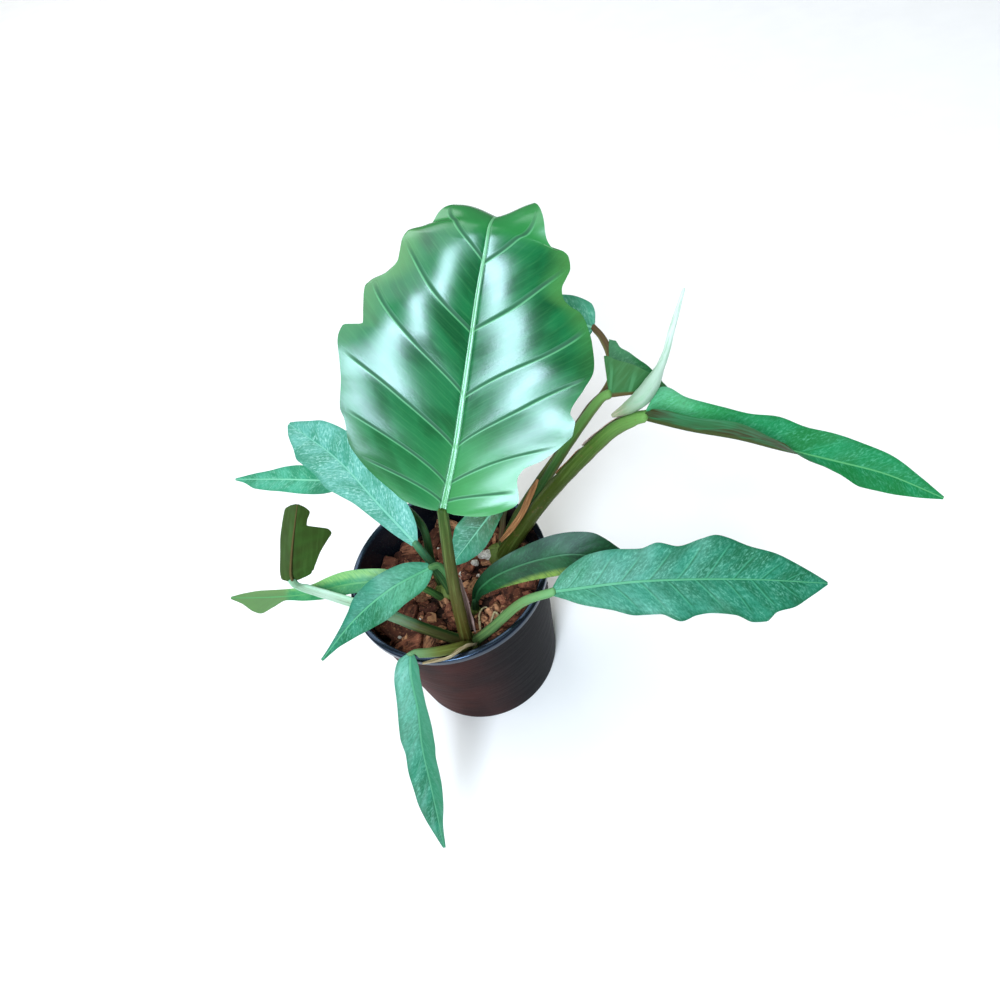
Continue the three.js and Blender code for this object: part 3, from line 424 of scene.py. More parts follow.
LEAVES["upper_left"] = dict(
    petiole=[(-4, -4, 88), (-3, -8, 104), (-6, -4, 120), (-11, 3, 138)],
    midrib=[(-25, 28, 152), (-43, 65, 160), (-70, 108, 160)],
    face=[(-0.1, -0.5, 0.85), (-0.1, -0.4, 0.9)],
    left=[
        (0, 2.5), (0.1, 5.5), (0.2, 7.5), (0.32, 10), (0.42, 14), (0.5, 16.5), (0.63, 15.5), (0.76, 15.5),
        (0.87, 10.5), (0.95, 6), (1, 1.5),
    ],
    right=[
        (0, 2.5), (0.05, 8), (0.12, 12), (0.25, 15), (0.4, 17), (0.55, 17.5), (0.67, 16.5), (0.78, 14),
        (0.88, 9), (0.95, 5), (1, 1.5),
    ],
    radius=(2.8, 2.2), fold=(16, 8), ripple=(1, 4, 0), veins=7, rib=1.6, skin="blue",
)

LEAVES["far_left"] = dict(
    petiole=[(-8, 2, 90), (-8, 7, 112), (-6, 18, 134), (-20, 38, 143), (-44, 62, 142)],
    midrib=[(-69, 80, 135), (-93, 98, 127), (-130, 127, 112)],
    face=[(-0.1, -0.5, 0.85), (-0.1, -0.4, 0.9)],
    left=[(0, 2), (0.03, 5), (0.25, 9.5), (0.5, 8.5), (0.75, 7), (0.9, 2.5), (1, 0.8)],
    right=[(0, 2), (0.1, 6), (0.4, 9.5), (0.61, 6.5), (0.82, 3.7), (1, 0.8)],
    radius=(2.6, 1.9), fold=(10, 8), ripple=(0.6, 4, 0), veins=8, rib=1.2, skin="mint",
)

LEAVES["folded_left"] = dict(
    petiole=[
        (-2, -42, 94), (-22, -34, 111), (-39, -23, 119), (-58, -10, 123), (-82, 9, 121), (-88, 13.5, 121.5),
        (-89, 15, 124.5),
    ],
    midrib=[(-87, 18, 131), (-80, 27, 143), (-69, 39, 160)],
    face=[(-0.15, 0.85, -0.5)],
    left=[
        (0, 4), (0.03, 11.5), (0.2, 14), (0.4, 17), (0.55, 20.5), (0.63, 22.5), (0.69, 20), (0.735, 7),
        (0.8, 7), (0.9, 8), (0.96, 5), (1, 1),
    ],
    right=[(0, 3), (0.05, 6), (0.3, 6.5), (0.6, 7.5), (0.9, 7), (0.97, 4), (1, 1)],
    radius=(3.4, 2.5), fold=(10, 20), ripple=(0.5, 3, 0), veins=5, rib=1.6, skin="olive",
)

LEAVES["long_left"] = dict(
    petiole=[(-9, -6, 88), (-16, -7, 106), (-28, -2, 116)],
    midrib=[(-56, 3, 120), (-86, 12.5, 111.3), (-113, 24.5, 104.3), (-141, 39, 97)],
    face=[(-0.2, -0.4, 0.9)],
    left=[
        (0, 2), (0.1, 5), (0.3, 6), (0.5, 4), (0.62, 2.5), (0.7, 6.5), (0.77, 10), (0.83, 8.5), (0.91, 4),
        (1, 0.8),
    ],
    right=[
        (0, 2), (0.07, 7), (0.22, 8), (0.35, 6.8), (0.45, 5.2), (0.6, 4.5), (0.77, 4.5), (0.9, 3), (1, 0.8),
    ],
    radius=(2.4, 1.8), fold=(10, 8), ripple=(0.5, 4, 0), veins=8, rib=1.2, skin="yellow",
)

LEAVES["hanging"] = dict(
    petiole=[(0, -44, 94), (-3, -51, 106), (-16, -54, 115), (-29, -52, 118)],
    midrib=[(-32, -62, 113), (-35, -74, 97), (-40, -88, 80), (-43, -107, 61), (-46, -130, 42)],
    face=[(-0.1, -0.2, 0.95), (-0.1, -0.6, 0.6), (-0.1, -0.5, 0.8)],
    left=[
        (0, 2), (0.08, 5.5), (0.24, 5.5), (0.39, 7.5), (0.47, 8), (0.55, 7), (0.65, 7), (0.77, 5.5),
        (0.9, 2), (1, 0.8),
    ],
    right=[
        (0, 2), (0.03, 6.5), (0.18, 10), (0.32, 11), (0.42, 11.3), (0.51, 9.5), (0.6, 10), (0.73, 9.3),
        (0.85, 6.5), (0.94, 3.2), (1, 0.8),
    ],
    radius=(3.4, 2.4), fold=(15, 15), ripple=(0.6, 4, 0), veins=8, rib=1.2, skin="teal",
)

LEAVES["behind_right"] = dict(
    petiole=[(8, -22, 90), (9, -21, 95), (10, -20, 98)],
    midrib=[(16, -18, 106), (30, -19, 115), (53, -23, 122), (76, -30, 124), (106, -43, 111)],
    face=[(-0.3, -0.5, 0.8), (-0.1, -0.4, 0.9)],
    left=[
        (0, 2), (0.12, 5), (0.27, 8), (0.44, 10.5), (0.59, 12.5), (0.7, 13), (0.77, 11), (0.83, 8.5),
        (0.92, 5), (1, 0.8),
    ],
    right=[(0, 2), (0.14, 6.5), (0.33, 10), (0.52, 11.5), (0.7, 12), (0.85, 8), (1, 0.8)],
    radius=(2.6, 2), fold=(25, 12), ripple=(0.8, 4, 0), veins=7, rib=1.2, skin="deep",
)

LEAVES["centre"] = dict(
    petiole=[(32, 14, 88), (37, 20, 100), (41, 24, 110), (44, 26, 116), (42, 25, 118)],
    midrib=[(34, 20, 120), (21, 12, 116), (2, 4, 105)],
    face=[(-0.1, -0.5, 0.85)],
    left=[(0, 2), (0.1, 5), (0.3, 8), (0.55, 10), (0.8, 7), (1, 0.8)],
    right=[(0, 2), (0.1, 7), (0.3, 11), (0.55, 12), (0.8, 7), (1, 0.8)],
    radius=(2.2, 1.7), fold=(10, 10), ripple=(0.5, 4, 0), veins=5, rib=1, skin="mint",
)

LEAVES["behind_big"] = dict(
    petiole=[
        (31, 14, 88), (47.5, 18.5, 111), (66, 24.3, 129), (85, 26, 150), (103, 24, 176), (113, 25.5, 183),
        (120, 31, 189), (121.5, 39, 196.5), (120.5, 47, 201.5), (118.5, 54, 203.5),
    ],
    midrib=[(108, 63, 205), (94, 77, 202), (82, 92, 194)],
    face=[(-0.1, -0.6, 0.8)],
    left=[(0, 3), (0.03, 14), (0.09, 19), (0.2, 20), (0.6, 16), (0.85, 9), (1, 0.8)],
    right=[(0, 3), (0.03, 8), (0.1, 12), (0.3, 14), (0.6, 14), (0.85, 8), (1, 0.8)],
    radius=(2.8, 2), fold=(10, 10), ripple=(0.5, 4, 0), veins=5, rib=1.2, skin="mint",
)

# Each middle line starts where its stalk ends
for leaf_values in LEAVES.values():
    leaf_values["midrib"].insert(0, leaf_values["petiole"][-1])

# Dry sheaths, as in the solids: both halves are alike
SHEATHS = {}

SHEATHS["dried"] = dict(
    midrib=[(5, -39, 99.5), (7, -34, 118), (9, -30, 140)],
    face=[(-0.6, -0.8, 0)],
    left=[(0, 3), (0.4, 3), (0.8, 2), (1, 0.8)],
    skin="pink",
)

SHEATHS["back"] = dict(
    midrib=[
        (35, 8.9, 106.4), (45.2, 8.9, 116.8), (52, 11.4, 122.5), (59.1, 16.8, 127.9), (66.7, 21, 136.3),
    ],
    face=[(-0.3, -0.4, 0.85), (-0.4, -0.5, 0.75)],
    left=[(0, 1.2), (0.3, 2.1), (0.8, 2.2), (1, 0.8)],
    skin="tan",
)

SHEATHS["front"] = dict(
    midrib=[(4.5, -50.5, 102.5), (-0.5, -55, 111.5), (-11, -60, 115), (-24, -59.5, 117)],
    face=[(0, 1, 0.2), (0.2, 0.9, 0.4), (0.1, 0.5, 0.8)],
    left=[(0, 1.6), (0.4, 2.2), (0.8, 1.8), (1, 0.8)],
    skin="straw",
)
SHEATH_FORM = dict(fold=(30, 30), ripple=(0.3, 2.5, 0.2), rib=0.01, ridge=0.0, quilt=0.05)


def linear(code):
    """A colour code as linear red, green, blue and alpha."""
    values = [int(code[i:i + 2], 16) / 255 for i in (1, 3, 5)]
    return (*[v / 12.92 if v <= 0.04045 else ((v + 0.055) / 1.055) ** 2.4 for v in values], 1.0)


# Curves and blades

class Curve:
    """A smooth curve through points, read by its share of length."""

    def __init__(self, points):
        p = np.array(points, float)
        p = np.vstack([2 * p[0] - p[1], p, 2 * p[-1] - p[-2]])
        spans = len(p) - 3
        t = np.linspace(0, spans, CURVE_SAMPLES)
        i = np.minimum(t.astype(int), spans - 1)
        w = (t - i)[:, None]
        a, b, c, d = p[i], p[i + 1], p[i + 2], p[i + 3]
        start, end = (c - a) / 2, (d - b) / 2
        self.places = (
            (2 * w**3 - 3 * w**2 + 1) * b + (w**3 - 2 * w**2 + w) * start
            + (3 * w**2 - 2 * w**3) * c + (w**3 - w**2) * end
        )
        steps = np.linalg.norm(np.diff(self.places, axis=0), axis=1)
        along = np.concatenate([[0], np.cumsum(steps)])
        self.length = along[-1]
        self.share = along / self.length

    def at(self, u):
        return np.stack([np.interp(u, self.share, self.places[:, k]) for k in range(3)], -1)

    def way(self, u):
        step = 0.002
        low, high = np.clip(u - step, 0, 1), np.clip(u + step, 0, 1)
        return unit(self.at(high) - self.at(low))


def unit(vectors):
    return vectors / np.linalg.norm(vectors, axis=-1, keepdims=True)


def cross_section(ahead, face):
    """The ways across and up at each place of a curve, with up as near as it can be to the face's."""
    up = unit(face - ahead * (face * ahead).sum(1, keepdims=True))
    return np.cross(ahead, up), up


def around(at, across, up, radius, angle):
    """Points at a radius and an angle round each place of a curve."""
    sideways = across[:, None] * (radius * np.cos(angle))[..., None]
    return at[:, None] + sideways + up[:, None] * (radius * np.sin(angle))[..., None]


def spread(values, u):
    """A list of numbers or vectors, spread evenly, at the places u."""
    table = np.array(values, float)
    places = np.linspace(0, 1, len(table))
    if table.ndim == 1:
        return np.interp(u, places, table)
    return np.stack([np.interp(u, places, column) for column in table.T], -1)


def smooth_through(pairs, u):
    """A smooth curve through pairs of place and value that never overshoots them."""
    x, y = np.array(pairs, float).T
    steps, rises = np.diff(x), np.diff(y) / np.diff(x)
    slopes = np.concatenate([[rises[0]], np.zeros(len(x) - 2), [rises[-1]]])
    for i in range(1, len(x) - 1):
        if rises[i - 1] * rises[i] > 0:
            before, after = 2 * steps[i] + steps[i - 1], steps[i] + 2 * steps[i - 1]
            slopes[i] = (before + after) / (before / rises[i - 1] + after / rises[i])
    i = np.clip(np.searchsorted(x, u) - 1, 0, len(steps) - 1)
    h = steps[i]
    s = np.clip((u - x[i]) / h, 0, 1)
    return (
        y[i] * (1 + 2 * s) * (1 - s) ** 2 + y[i + 1] * s * s * (3 - 2 * s)
        + h * slopes[i] * s * (1 - s) ** 2 - h * slopes[i + 1] * s * s * (1 - s)
    )


def eased(values, u):
    """A list of numbers, spread evenly, as a smooth curve at the places u."""
    return smooth_through(list(zip(np.linspace(0, 1, len(values)), values)), u)


def broad_half(pairs, u):
    """A half's width with its lobes evened out, the nearest places counting most."""
    total, weights = 0, 0
    for step in range(-BROAD_STEPS, BROAD_STEPS + 1):
        share = step / (BROAD_STEPS + 1)
        weight = 1 - abs(share)
        total = total + weight * smooth_through(pairs, np.clip(u + share * BROAD_SPAN / 2, 0, 1))
        weights += weight
    return total / weights


def side_veins(leaf, side):
    """Start and end places of the side veins on one half of a blade."""
    veins = leaf.get("veins", 4)
    if isinstance(veins, tuple):
        return veins[0] if side < 0 else veins[1]
    shift = LEFT_VEIN_SHIFT if side < 0 else 0.0
    slant = leaf.get("slant", VEIN_SLANT)
    return [((k + shift) / veins, (k + shift) / veins + slant) for k in range(veins + 1)]


def vein_phase(veins, u, out):
    """Which side vein a point lies by, as a number that is whole on each vein, and their spacing in u."""
    lines = [start + (end - start) * out**VEIN_BEND for start, end in veins]
    first, last = lines[1] - lines[0], lines[-1] - lines[-2]
    phase = np.minimum((u - lines[0]) / first, 0) + np.maximum((u - lines[-1]) / last, 0)
    spacing = first.copy()
    for low, high in zip(lines, lines[1:]):
        phase = phase + np.clip((u - low) / (high - low), 0, 1)
        spacing = np.where(u > low, high - low, spacing)
    return phase, spacing


def blade_grid(leaf, rows, columns):
    """Upper and lower points of a blade as grids, with what its material needs at each point."""
    middle = Curve(leaf["midrib"])
    share = np.linspace(0, 1, rows + 1)
    u = share[:, None]
    at = middle.at(share)
    right, up = cross_section(middle.way(share), spread(leaf["face"], share))
    reach = max(half for pairs in (leaf["left"], leaf["right"]) for _, half in pairs)
    height, waves, phase = leaf["ripple"]
    rib_width = leaf.get("rib_width", RIB_WIDTH + RIB_WIDTH_PER_DEPTH * leaf["rib"])
    full_rib = rib_width * (1 - RIB_TAPER * u)
    ridge_height = leaf.get("ridge", RIDGE)
    depth = leaf["rib"] * (1 - u) ** KEEL_TAPER
    lean = QUILTED_VEIN_LEAN if "quilt" in leaf else VEIN_LEAN
    far = (np.arange(1, columns + 1) / columns) ** COLUMN_SPREAD
    grids = {key: [] for key in ("upper", "lower", "place", "vein")}
    for side, pairs, fold, arch, lag in (
        (-1, leaf["left"], leaf["fold"], leaf.get("arch", FLAT), LEFT_WAVE_SHIFT),
        (1, leaf["right"], leaf.get("fold_right", leaf["fold"]), leaf.get("arch_right", FLAT), 0),
    ):
        half = smooth_through(pairs, share)[:, None]
        broad = broad_half(pairs, share)[:, None]
        tilt = np.radians(eased(fold, share))[:, None]
        rib = np.minimum(full_rib, RIB_SHARE * half)
        start = NEAR_RIB[-1] * rib
        distance = np.concatenate([NEAR_RIB * rib, start + (half - start) * far], 1)
        along = np.broadcast_to(u, distance.shape)
        bow = distance / broad
        hump = 4 * bow * (1 - bow)
        wave = np.sin(2 * np.pi * (waves * u + phase) + lag)
        rise = distance * np.sin(tilt) + height * (distance / reach) ** 2 * wave
        rise = rise + eased(arch, share)[:, None] * broad * hump
        number, spacing = vein_phase(side_veins(leaf, side), along, np.minimum(bow, BOW_LIMIT))
        swell = np.abs(np.sin(np.pi * number)) * np.maximum(0, hump)
        rise = rise + leaf.get("quilt", QUILT) * swell * np.minimum(1, broad / reach + QUILT_AT_TIP)
        ratio = distance / rib
        ridge = ridge_height * rib * np.cos(np.minimum(ratio, 1) * np.pi / 2)
        groove = GROOVE * rib * np.exp(-(((ratio - GROOVE_PLACE) / GROOVE_BREADTH) ** 2))
        thick = EDGE_THICK + INNER_THICK * (1 - (distance / half) ** 3)
        keel = depth * np.sqrt(np.maximum(0, 1 - (ratio / NEAR_RIB[-1]) ** 2))
        sheet = at[:, None] + right[:, None] * (side * distance * np.cos(tilt))[..., None]
        grids["upper"].append(sheet + up[:, None] * (rise + ridge - groove + thick)[..., None])
        grids["lower"].append(sheet + up[:, None] * (rise - keel - thick)[..., None])
        grids["place"].append(np.stack([along * middle.length, side * distance, half - distance], -1))
        grids["vein"].append(np.stack([number, spacing * middle.length * lean, ratio], -1))
    thick = EDGE_THICK + INNER_THICK
    none = 0 * share
    centre = {
        "upper": at + up * (ridge_height * full_rib + thick),
        "lower": at - up * (depth + thick),
        "place": np.stack([share * middle.length, none, none + reach], -1),
        "vein": np.stack([none + 0.5, none + 10, none], -1),
    }
    return {
        key: np.concatenate([left[:, ::-1], centre[key][:, None], right_half], 1)
        for key, (left, right_half) in grids.items()
    }


# Meshes

def sheet_faces(rows, columns):
    """Faces of a closed sheet from an upper and a lower grid: all upper ones come first."""
    index = np.arange(rows * columns).reshape(rows, columns)
    a, b, c, d = index[:-1, :-1], index[:-1, 1:], index[1:, 1:], index[1:, :-1]
    upper = np.stack([a, b, c, d], -1).reshape(-1, 4)
    lower = np.stack([a, d, c, b], -1).reshape(-1, 4) + rows * columns
    rim = np.concatenate([index[:, -1], index[-1, ::-1][1:], index[::-1, 0][1:], index[0][1:-1]])
    after = np.roll(rim, -1)
    edge = np.stack([rim, rim + rows * columns, after + rows * columns, after], -1)
    return np.concatenate([upper, lower, edge]), len(upper)


def sheet_mesh(grid, keys):
    """Points, faces, number of upper faces and attributes of a blade's grids."""
    faces, upper_count = sheet_faces(*grid["upper"].shape[:2])
    points = np.concatenate([grid["upper"].reshape(-1, 3), grid["lower"].reshape(-1, 3)])
    attributes = {key: np.concatenate([grid[key].reshape(-1, 3)] * 2) for key in keys}
    return points, faces, upper_count, attributes


def ring_faces(rings, sides):
    """Faces between rings of points, and the points' numbers ring by ring."""
    index = np.arange(rings * sides).reshape(rings, sides)
    following = np.roll(index, -1, 1)
    faces = np.stack([index[:-1], following[:-1], following[1:], index[1:]], -1)
    return faces.reshape(-1, 4).tolist(), index


def capped_faces(rings, sides):
    """Faces between rings of points, with a flat one over the first and the last ring."""
    faces, index = ring_faces(rings, sides)
    return faces + [index[0, ::-1].tolist(), index[-1].tolist()]


def tube(curve, radii, sides, steps, groove=None, end_way=None, seam=0.0, wobble=0.0):
    """Points and faces of a tapering tube with domed ends, with its place along and around."""
    u = np.linspace(0, 1, steps + 1)
    at, ahead = curve.at(u), curve.way(u)
    if end_way is not None:
        blend = np.clip((u - (1 - END_BLEND)) / END_BLEND, 0, 1)[:, None]
        ahead = unit(ahead * (1 - blend) + end_way * blend)
    across, up = cross_section(ahead, np.array([groove or TUBE_FACE]))
    angle = np.linspace(0, 2 * np.pi, sides, endpoint=False)
    radius = spread(radii, u)[:, None] * np.ones(sides)
    if groove:
        gap = np.angle(np.exp(1j * (angle - np.pi / 2)))
        radius = radius * (1 - STALK_GROOVE * np.exp(-((gap / STALK_GROOVE_ANGLE) ** 2)))
    turn = (angle - SEAM_START - SEAM_TWIST * u[:, None]) % (2 * np.pi) / (2 * np.pi)
    radius = radius * (1 + seam * (turn - 0.5))
    waves = np.sin(WOBBLE_TURNS * u[:, None] * curve.length / WOBBLE_LENGTH + WOBBLE_ROUND * angle)
    radius = radius * (1 + wobble * waves)
    ring = around(at, across, up, radius, angle)

    def dome(row, way):
        """Ever smaller rings that round off one end."""
        depth = way * DOME_DEPTH * radius[row].mean() * ahead[row]
        lifts = [(lift, math.sqrt(1 - lift**2)) for lift in DOME_LIFTS]
        return [at[row] + (ring[row] - at[row]) * shrink + depth * lift for lift, shrink in lifts]

    rings = np.concatenate([dome(0, -1)[::-1], ring, dome(-1, 1)])
    share = np.concatenate([np.zeros(len(DOME_LIFTS)), u, np.ones(len(DOME_LIFTS))])
    place = np.stack(np.broadcast_arrays(share[:, None] * curve.length, angle, np.sin(angle)), -1)
    return rings.reshape(-1, 3), capped_faces(len(rings), sides), place.reshape(-1, 3)


def turned(profile, segments):
    """Points and faces of a closed shape turned about Z, its first and last points on the axis."""
    profile = np.array(profile, float)
    angle = np.linspace(0, 2 * np.pi, segments, endpoint=False)
    reach, z = profile[1:-1, :1], profile[1:-1, 1:]
    points = np.stack([reach * np.cos(angle), reach * np.sin(angle), z * np.ones(segments)], -1)
    points = points.reshape(-1, 3)
    centres = [[0, 0, profile[0, 1]], [0, 0, profile[-1, 1]]]
    faces, index = ring_faces(len(reach), segments)
    low = len(points)
    faces += [[low, b, a] for a, b in zip(index[0], np.roll(index[0], -1))]
    faces += [[low + 1, a, b] for a, b in zip(index[-1], np.roll(index[-1], -1))]
    return np.concatenate([points, centres]), faces


def joined(parts):
    """Points and faces of several meshes as one mesh."""
    starts = np.cumsum([0] + [len(points) for points, _ in parts])
    faces = [face for (_, own), start in zip(parts, starts) for face in (own + start).tolist()]
    return np.concatenate([points for points, _ in parts]), faces


def new_piece(name, points, faces, materials, slot, nodes, attributes=None, of_face=None, sharp=None):
    """A mesh piece that rides on the plant's one body and stands for its solids."""
    mesh = bpy.data.meshes.new(name)
    mesh.from_pydata((np.asarray(points, float) * MM).tolist(), [], [list(map(int, face)) for face in faces])
    for material in materials:
        mesh.materials.append(material)
    if of_face is not None:
        mesh.polygons.foreach_set("material_index", np.asarray(of_face, np.int32))
    for key, values in (attributes or {}).items():
        kind, field = ("FLOAT_COLOR", "color") if np.shape(values)[-1] == 4 else ("FLOAT_VECTOR", "vector")
        attribute = mesh.attributes.new(key, kind, "POINT")
        attribute.data.foreach_set(field, np.asarray(values, np.float32).ravel())
    mesh.polygons.foreach_set("use_smooth", np.ones(len(mesh.polygons), bool))
    if sharp:
        mesh.set_sharp_from_angle(angle=math.radians(sharp))
    mesh.update()
    piece = bpy.data.objects.new(name, mesh)
    bpy.context.scene.collection.objects.link(piece)
    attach(piece, "root")
    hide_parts(*nodes)
    return piece


# Shaders

class Shader:
    """One material's nodes. A number, a colour code or a socket can stand for any input."""

    def __init__(self, name, ground=None):
        self.material = bpy.data.materials.new(name)
        self.material.use_nodes = True
        self.tree = self.material.node_tree
        self.surface = self.tree.nodes["Principled BSDF"]
        self.colour = ground

    def put(self, node, place, value):
        if isinstance(value, bpy.types.NodeSocket):
            self.tree.links.new(value, node.inputs[place])
        else:
            node.inputs[place].default_value = linear(value) if isinstance(value, str) else value

    def node(self, kind, inputs, **settings):
        made = self.tree.nodes.new(kind)
        for key, value in settings.items():
            setattr(made, key, value)
        for place, value in inputs.items():
            self.put(made, place, value)
        return made

    def math(self, operation, a, b=0.0, c=0.0):
        return self.node("ShaderNodeMath", {0: a, 1: b, 2: c}, operation=operation).outputs[0]

    def times(self, a, b):
        return self.math("MULTIPLY", a, b)

    def ramp(self, value, low, high, start=0.0, end=1.0):
        inputs = {0: value, 1: low, 2: high, 3: start, 4: end}
        return self.node("ShaderNodeMapRange", inputs, interpolation_type="SMOOTHSTEP").outputs[0]

    def vector(self, x, y, z=0.0):
        return self.node("ShaderNodeCombineXYZ", {0: x, 1: y, 2: z}).outputs[0]

    def noise(self, vector, scale=1.0, detail=3.0, roughness=0.5):
        inputs = {"Vector": vector, "Scale": scale, "Detail": detail, "Roughness": roughness}
        return self.node("ShaderNodeTexNoise", inputs).outputs["Fac"]

    def grain(self, x, x_scale, y, y_scale, shift=0.0, detail=3.0, roughness=0.5):
        """Noise with a scale of its own along each of two values."""
        place = self.vector(self.times(x, x_scale), self.times(y, y_scale), shift)
        return self.noise(place, 1.0, detail, roughness)

    def carried(self, name):
        """The three numbers of a vector that the mesh carries."""
        vector = self.node("ShaderNodeAttribute", {}, attribute_name=name).outputs["Vector"]
        return self.node("ShaderNodeSeparateXYZ", {0: vector}).outputs

    def object_place(self):
        """Place on the object in millimetres."""
        place = self.node("ShaderNodeTexCoord", {}).outputs["Object"]
        return self.node("ShaderNodeVectorMath", {0: place, 3: 1 / MM}, operation="SCALE").outputs[0]

    def mix(self, share, a, b):
        return self.node("ShaderNodeMix", {0: share, 6: a, 7: b}, data_type="RGBA").outputs[2]

    def paint(self, colour, share):
        """Lay a colour over the ground."""
        self.colour = self.mix(share, self.colour, colour)

    def bump(self, height, depth_mm, strength=0.6):
        inputs = {"Height": height, "Distance": depth_mm * MM, "Strength": strength}
        self.put(self.surface, "Normal", self.node("ShaderNodeBump", inputs).outputs[0])

    def finish(self, roughness, specular, **others):
        """The material, with its painted colour and its shine."""
        values = dict(Base_Color=self.colour, Roughness=roughness, Specular_IOR_Level=specular, **others)
        for key, value in values.items():
            self.put(self.surface, key.replace("_", " "), value)
        return self.material


class BladeShader(Shader):
    """A leaf's material: it knows x along the blade, y across, edge to its margin, and the veins."""

    def __init__(self, name, skin):
        self.colours = dict(zip(SKIN_PARTS, SKINS[skin]))
        super().__init__(name)
        self.x, self.y, self.edge = self.carried("place")
        self.phase, spacing, self.ratio = self.carried("vein")
        self.slanted = self.math("MULTIPLY_ADD", self.math("ABSOLUTE", self.y), -0.75, self.x)
        near = self.math("SUBTRACT", self.math("FRACT", self.math("ADD", self.phase, 100.5)), 0.5)
        self.away = self.times(near, spacing)
        self.fade = self.ramp(self.edge, 1.0, 9.0)

    def along_veins(self, past, core, reach, strength):
        """Strength a distance past the side veins, which ends beside them and at the margin."""
        distance = self.math("ABSOLUTE", self.math("SUBTRACT", self.away, past))
        return self.times(self.ramp(distance, core, reach, strength, 0.0), self.fade)


def paint_glossy(s, fibre):
    """The big leaf's ground: pale fibres, a pale base, a greener margin and fine veins."""
    pale = s.colours["pale"]
    s.paint(pale, s.ramp(fibre, 0.42, 0.75, 0.0, 0.08))
    s.paint(pale, s.times(s.ramp(s.x, 8.0, 62.0, 0.6, 0.0), s.ramp(s.y, -12.0, 10.0, 0.25, 1.0)))
    s.paint("#5c9c4c", s.times(s.ramp(s.edge, 0.5, 13.0, 0.5, 0.0), s.ramp(s.x, 70.0, 115.0, 0.2, 1.0)))
    fine = s.math("COSINE", s.times(s.phase, 2 * math.pi * FINE_VEINS))
    s.paint(pale, s.ramp(fine, 0.7, 1.0, 0.0, 0.07))


def paint_mottled(s, look, speck, cluster):
    """The other leaves' ground: base tints, some painted sheen and shade, and clusters of pale and dark
    specks.
    """
    deep = s.colours["deep"]
    # Tints from the base: most are the leaf's own colour, some are painted sheen and painted shade.
    for code, share, reach in look.get("base_tints_and_painted_light", ()):
        s.paint(code, s.ramp(s.x, 0.2 * reach, reach, share, 0.0))
    mottle = look.get("mottle", 0.6)
    pale_share = s.ramp(cluster, 0.4, 0.6, 0.35 * mottle, mottle)
    s.paint(s.colours["pale"], s.times(s.ramp(speck, 0.46, 0.66), pale_share))
    s.paint(deep, s.times(s.ramp(speck, 0.36, 0.5, mottle, 0.0), s.ramp(cluster, 0.35, 0.6, 1.0, 0.5)))
    s.paint(deep, s.ramp(s.edge, 0.2, 3.0, 0.5, 0.0))


def paint_own_marks(s, look, fibre):
    """What sets one leaf apart: a half darkened as painted shade, a streak or another colour at its tip."""
    # Painted shade: one half of the blade is darkened.
    if "shade" in look:
        code, share, side = look["shade"]
        s.paint(code, s.ramp(s.times(s.y, side), -0.6, 0.8, 0.0, share))
    if "streak" in look:
        low, high, code = look["streak"]
        band = s.times(s.ramp(s.y, low, low + 3.5), s.ramp(s.y, high - 2.0, high, 1.0, 0.0))
        s.paint(code, s.times(band, s.ramp(fibre, 0.35, 0.6, 0.4, 0.9)))
    if "tip" in look:
        start, code = look["tip"]
        s.paint(code, s.ramp(s.x, start, start + 8.0, 0.0, 0.85))


def leaf_upper(name, skin, look, seed):
    """The upper skin: mottled ground, pale side veins and rib, painted shade in the creases beside them."""
    s = BladeShader(name, skin)
    glossy = skin == "glossy"
    deep = s.colours["deep"]
    broad = s.grain(s.slanted, 0.06, s.y, 0.045, seed)
    fibre = s.grain(s.slanted, 1.3, s.y, 0.16, seed + 3, 3, 0.6)
    speck = s.grain(s.slanted, 0.75, s.y, 0.5, seed + 7, 5, 0.7)
    patch = s.ramp(broad, 0.36, 0.62)
    s.colour = s.mix(patch, deep, s.colours["middle"])
    if glossy:
        paint_glossy(s, fibre)
        painted_crease_shade = s.along_veins(0.9, 0.25, 0.95, 0.85)
        vein = s.along_veins(0.0, 0.15, 0.5, 0.75)
    else:
        paint_mottled(s, look, speck, s.grain(s.slanted, 0.16, s.y, 0.1, seed + 9))
        strength = look.get("veins", 0.35)
        painted_crease_shade = s.along_veins(0.75, 0.2, 1.0, strength)
        vein = s.along_veins(0.0, 0.1, 0.6, strength)
    paint_own_marks(s, look, fibre)
    # Painted shade in the creases beside the side veins.
    s.paint(deep, painted_crease_shade)
    s.paint(s.colours["vein"], vein)
    # Painted shade in the groove beside the middle rib.
    s.paint(deep, s.ramp(s.ratio, 1.1, 1.5, 0.5, 0.0))
    s.paint(s.colours["rib"], s.ramp(s.ratio, 0.85, 1.05, look.get("rib", 0.9), 0.0))
    s.bump(s.math("MULTIPLY_ADD", fibre, 0.6, s.times(speck, 0.5)), 0.06 if glossy else 0.2)
    if glossy:
        dulled = s.along_veins(0.9, 0.3, 1.3, 0.5)
        roughness = s.math("ADD", s.ramp(patch, 0.0, 1.0, 0.22, 0.27), dulled)
        return s.finish(roughness, 0.9, Specular_Tint=SKY)
    down = dict(Sheen_Weight=0.1, Sheen_Roughness=0.4, Sheen_Tint="#d2fff2")
    return s.finish(s.ramp(broad, 0.3, 0.7, 0.52, 0.42), 0.5, Specular_Tint=SKY, **down)


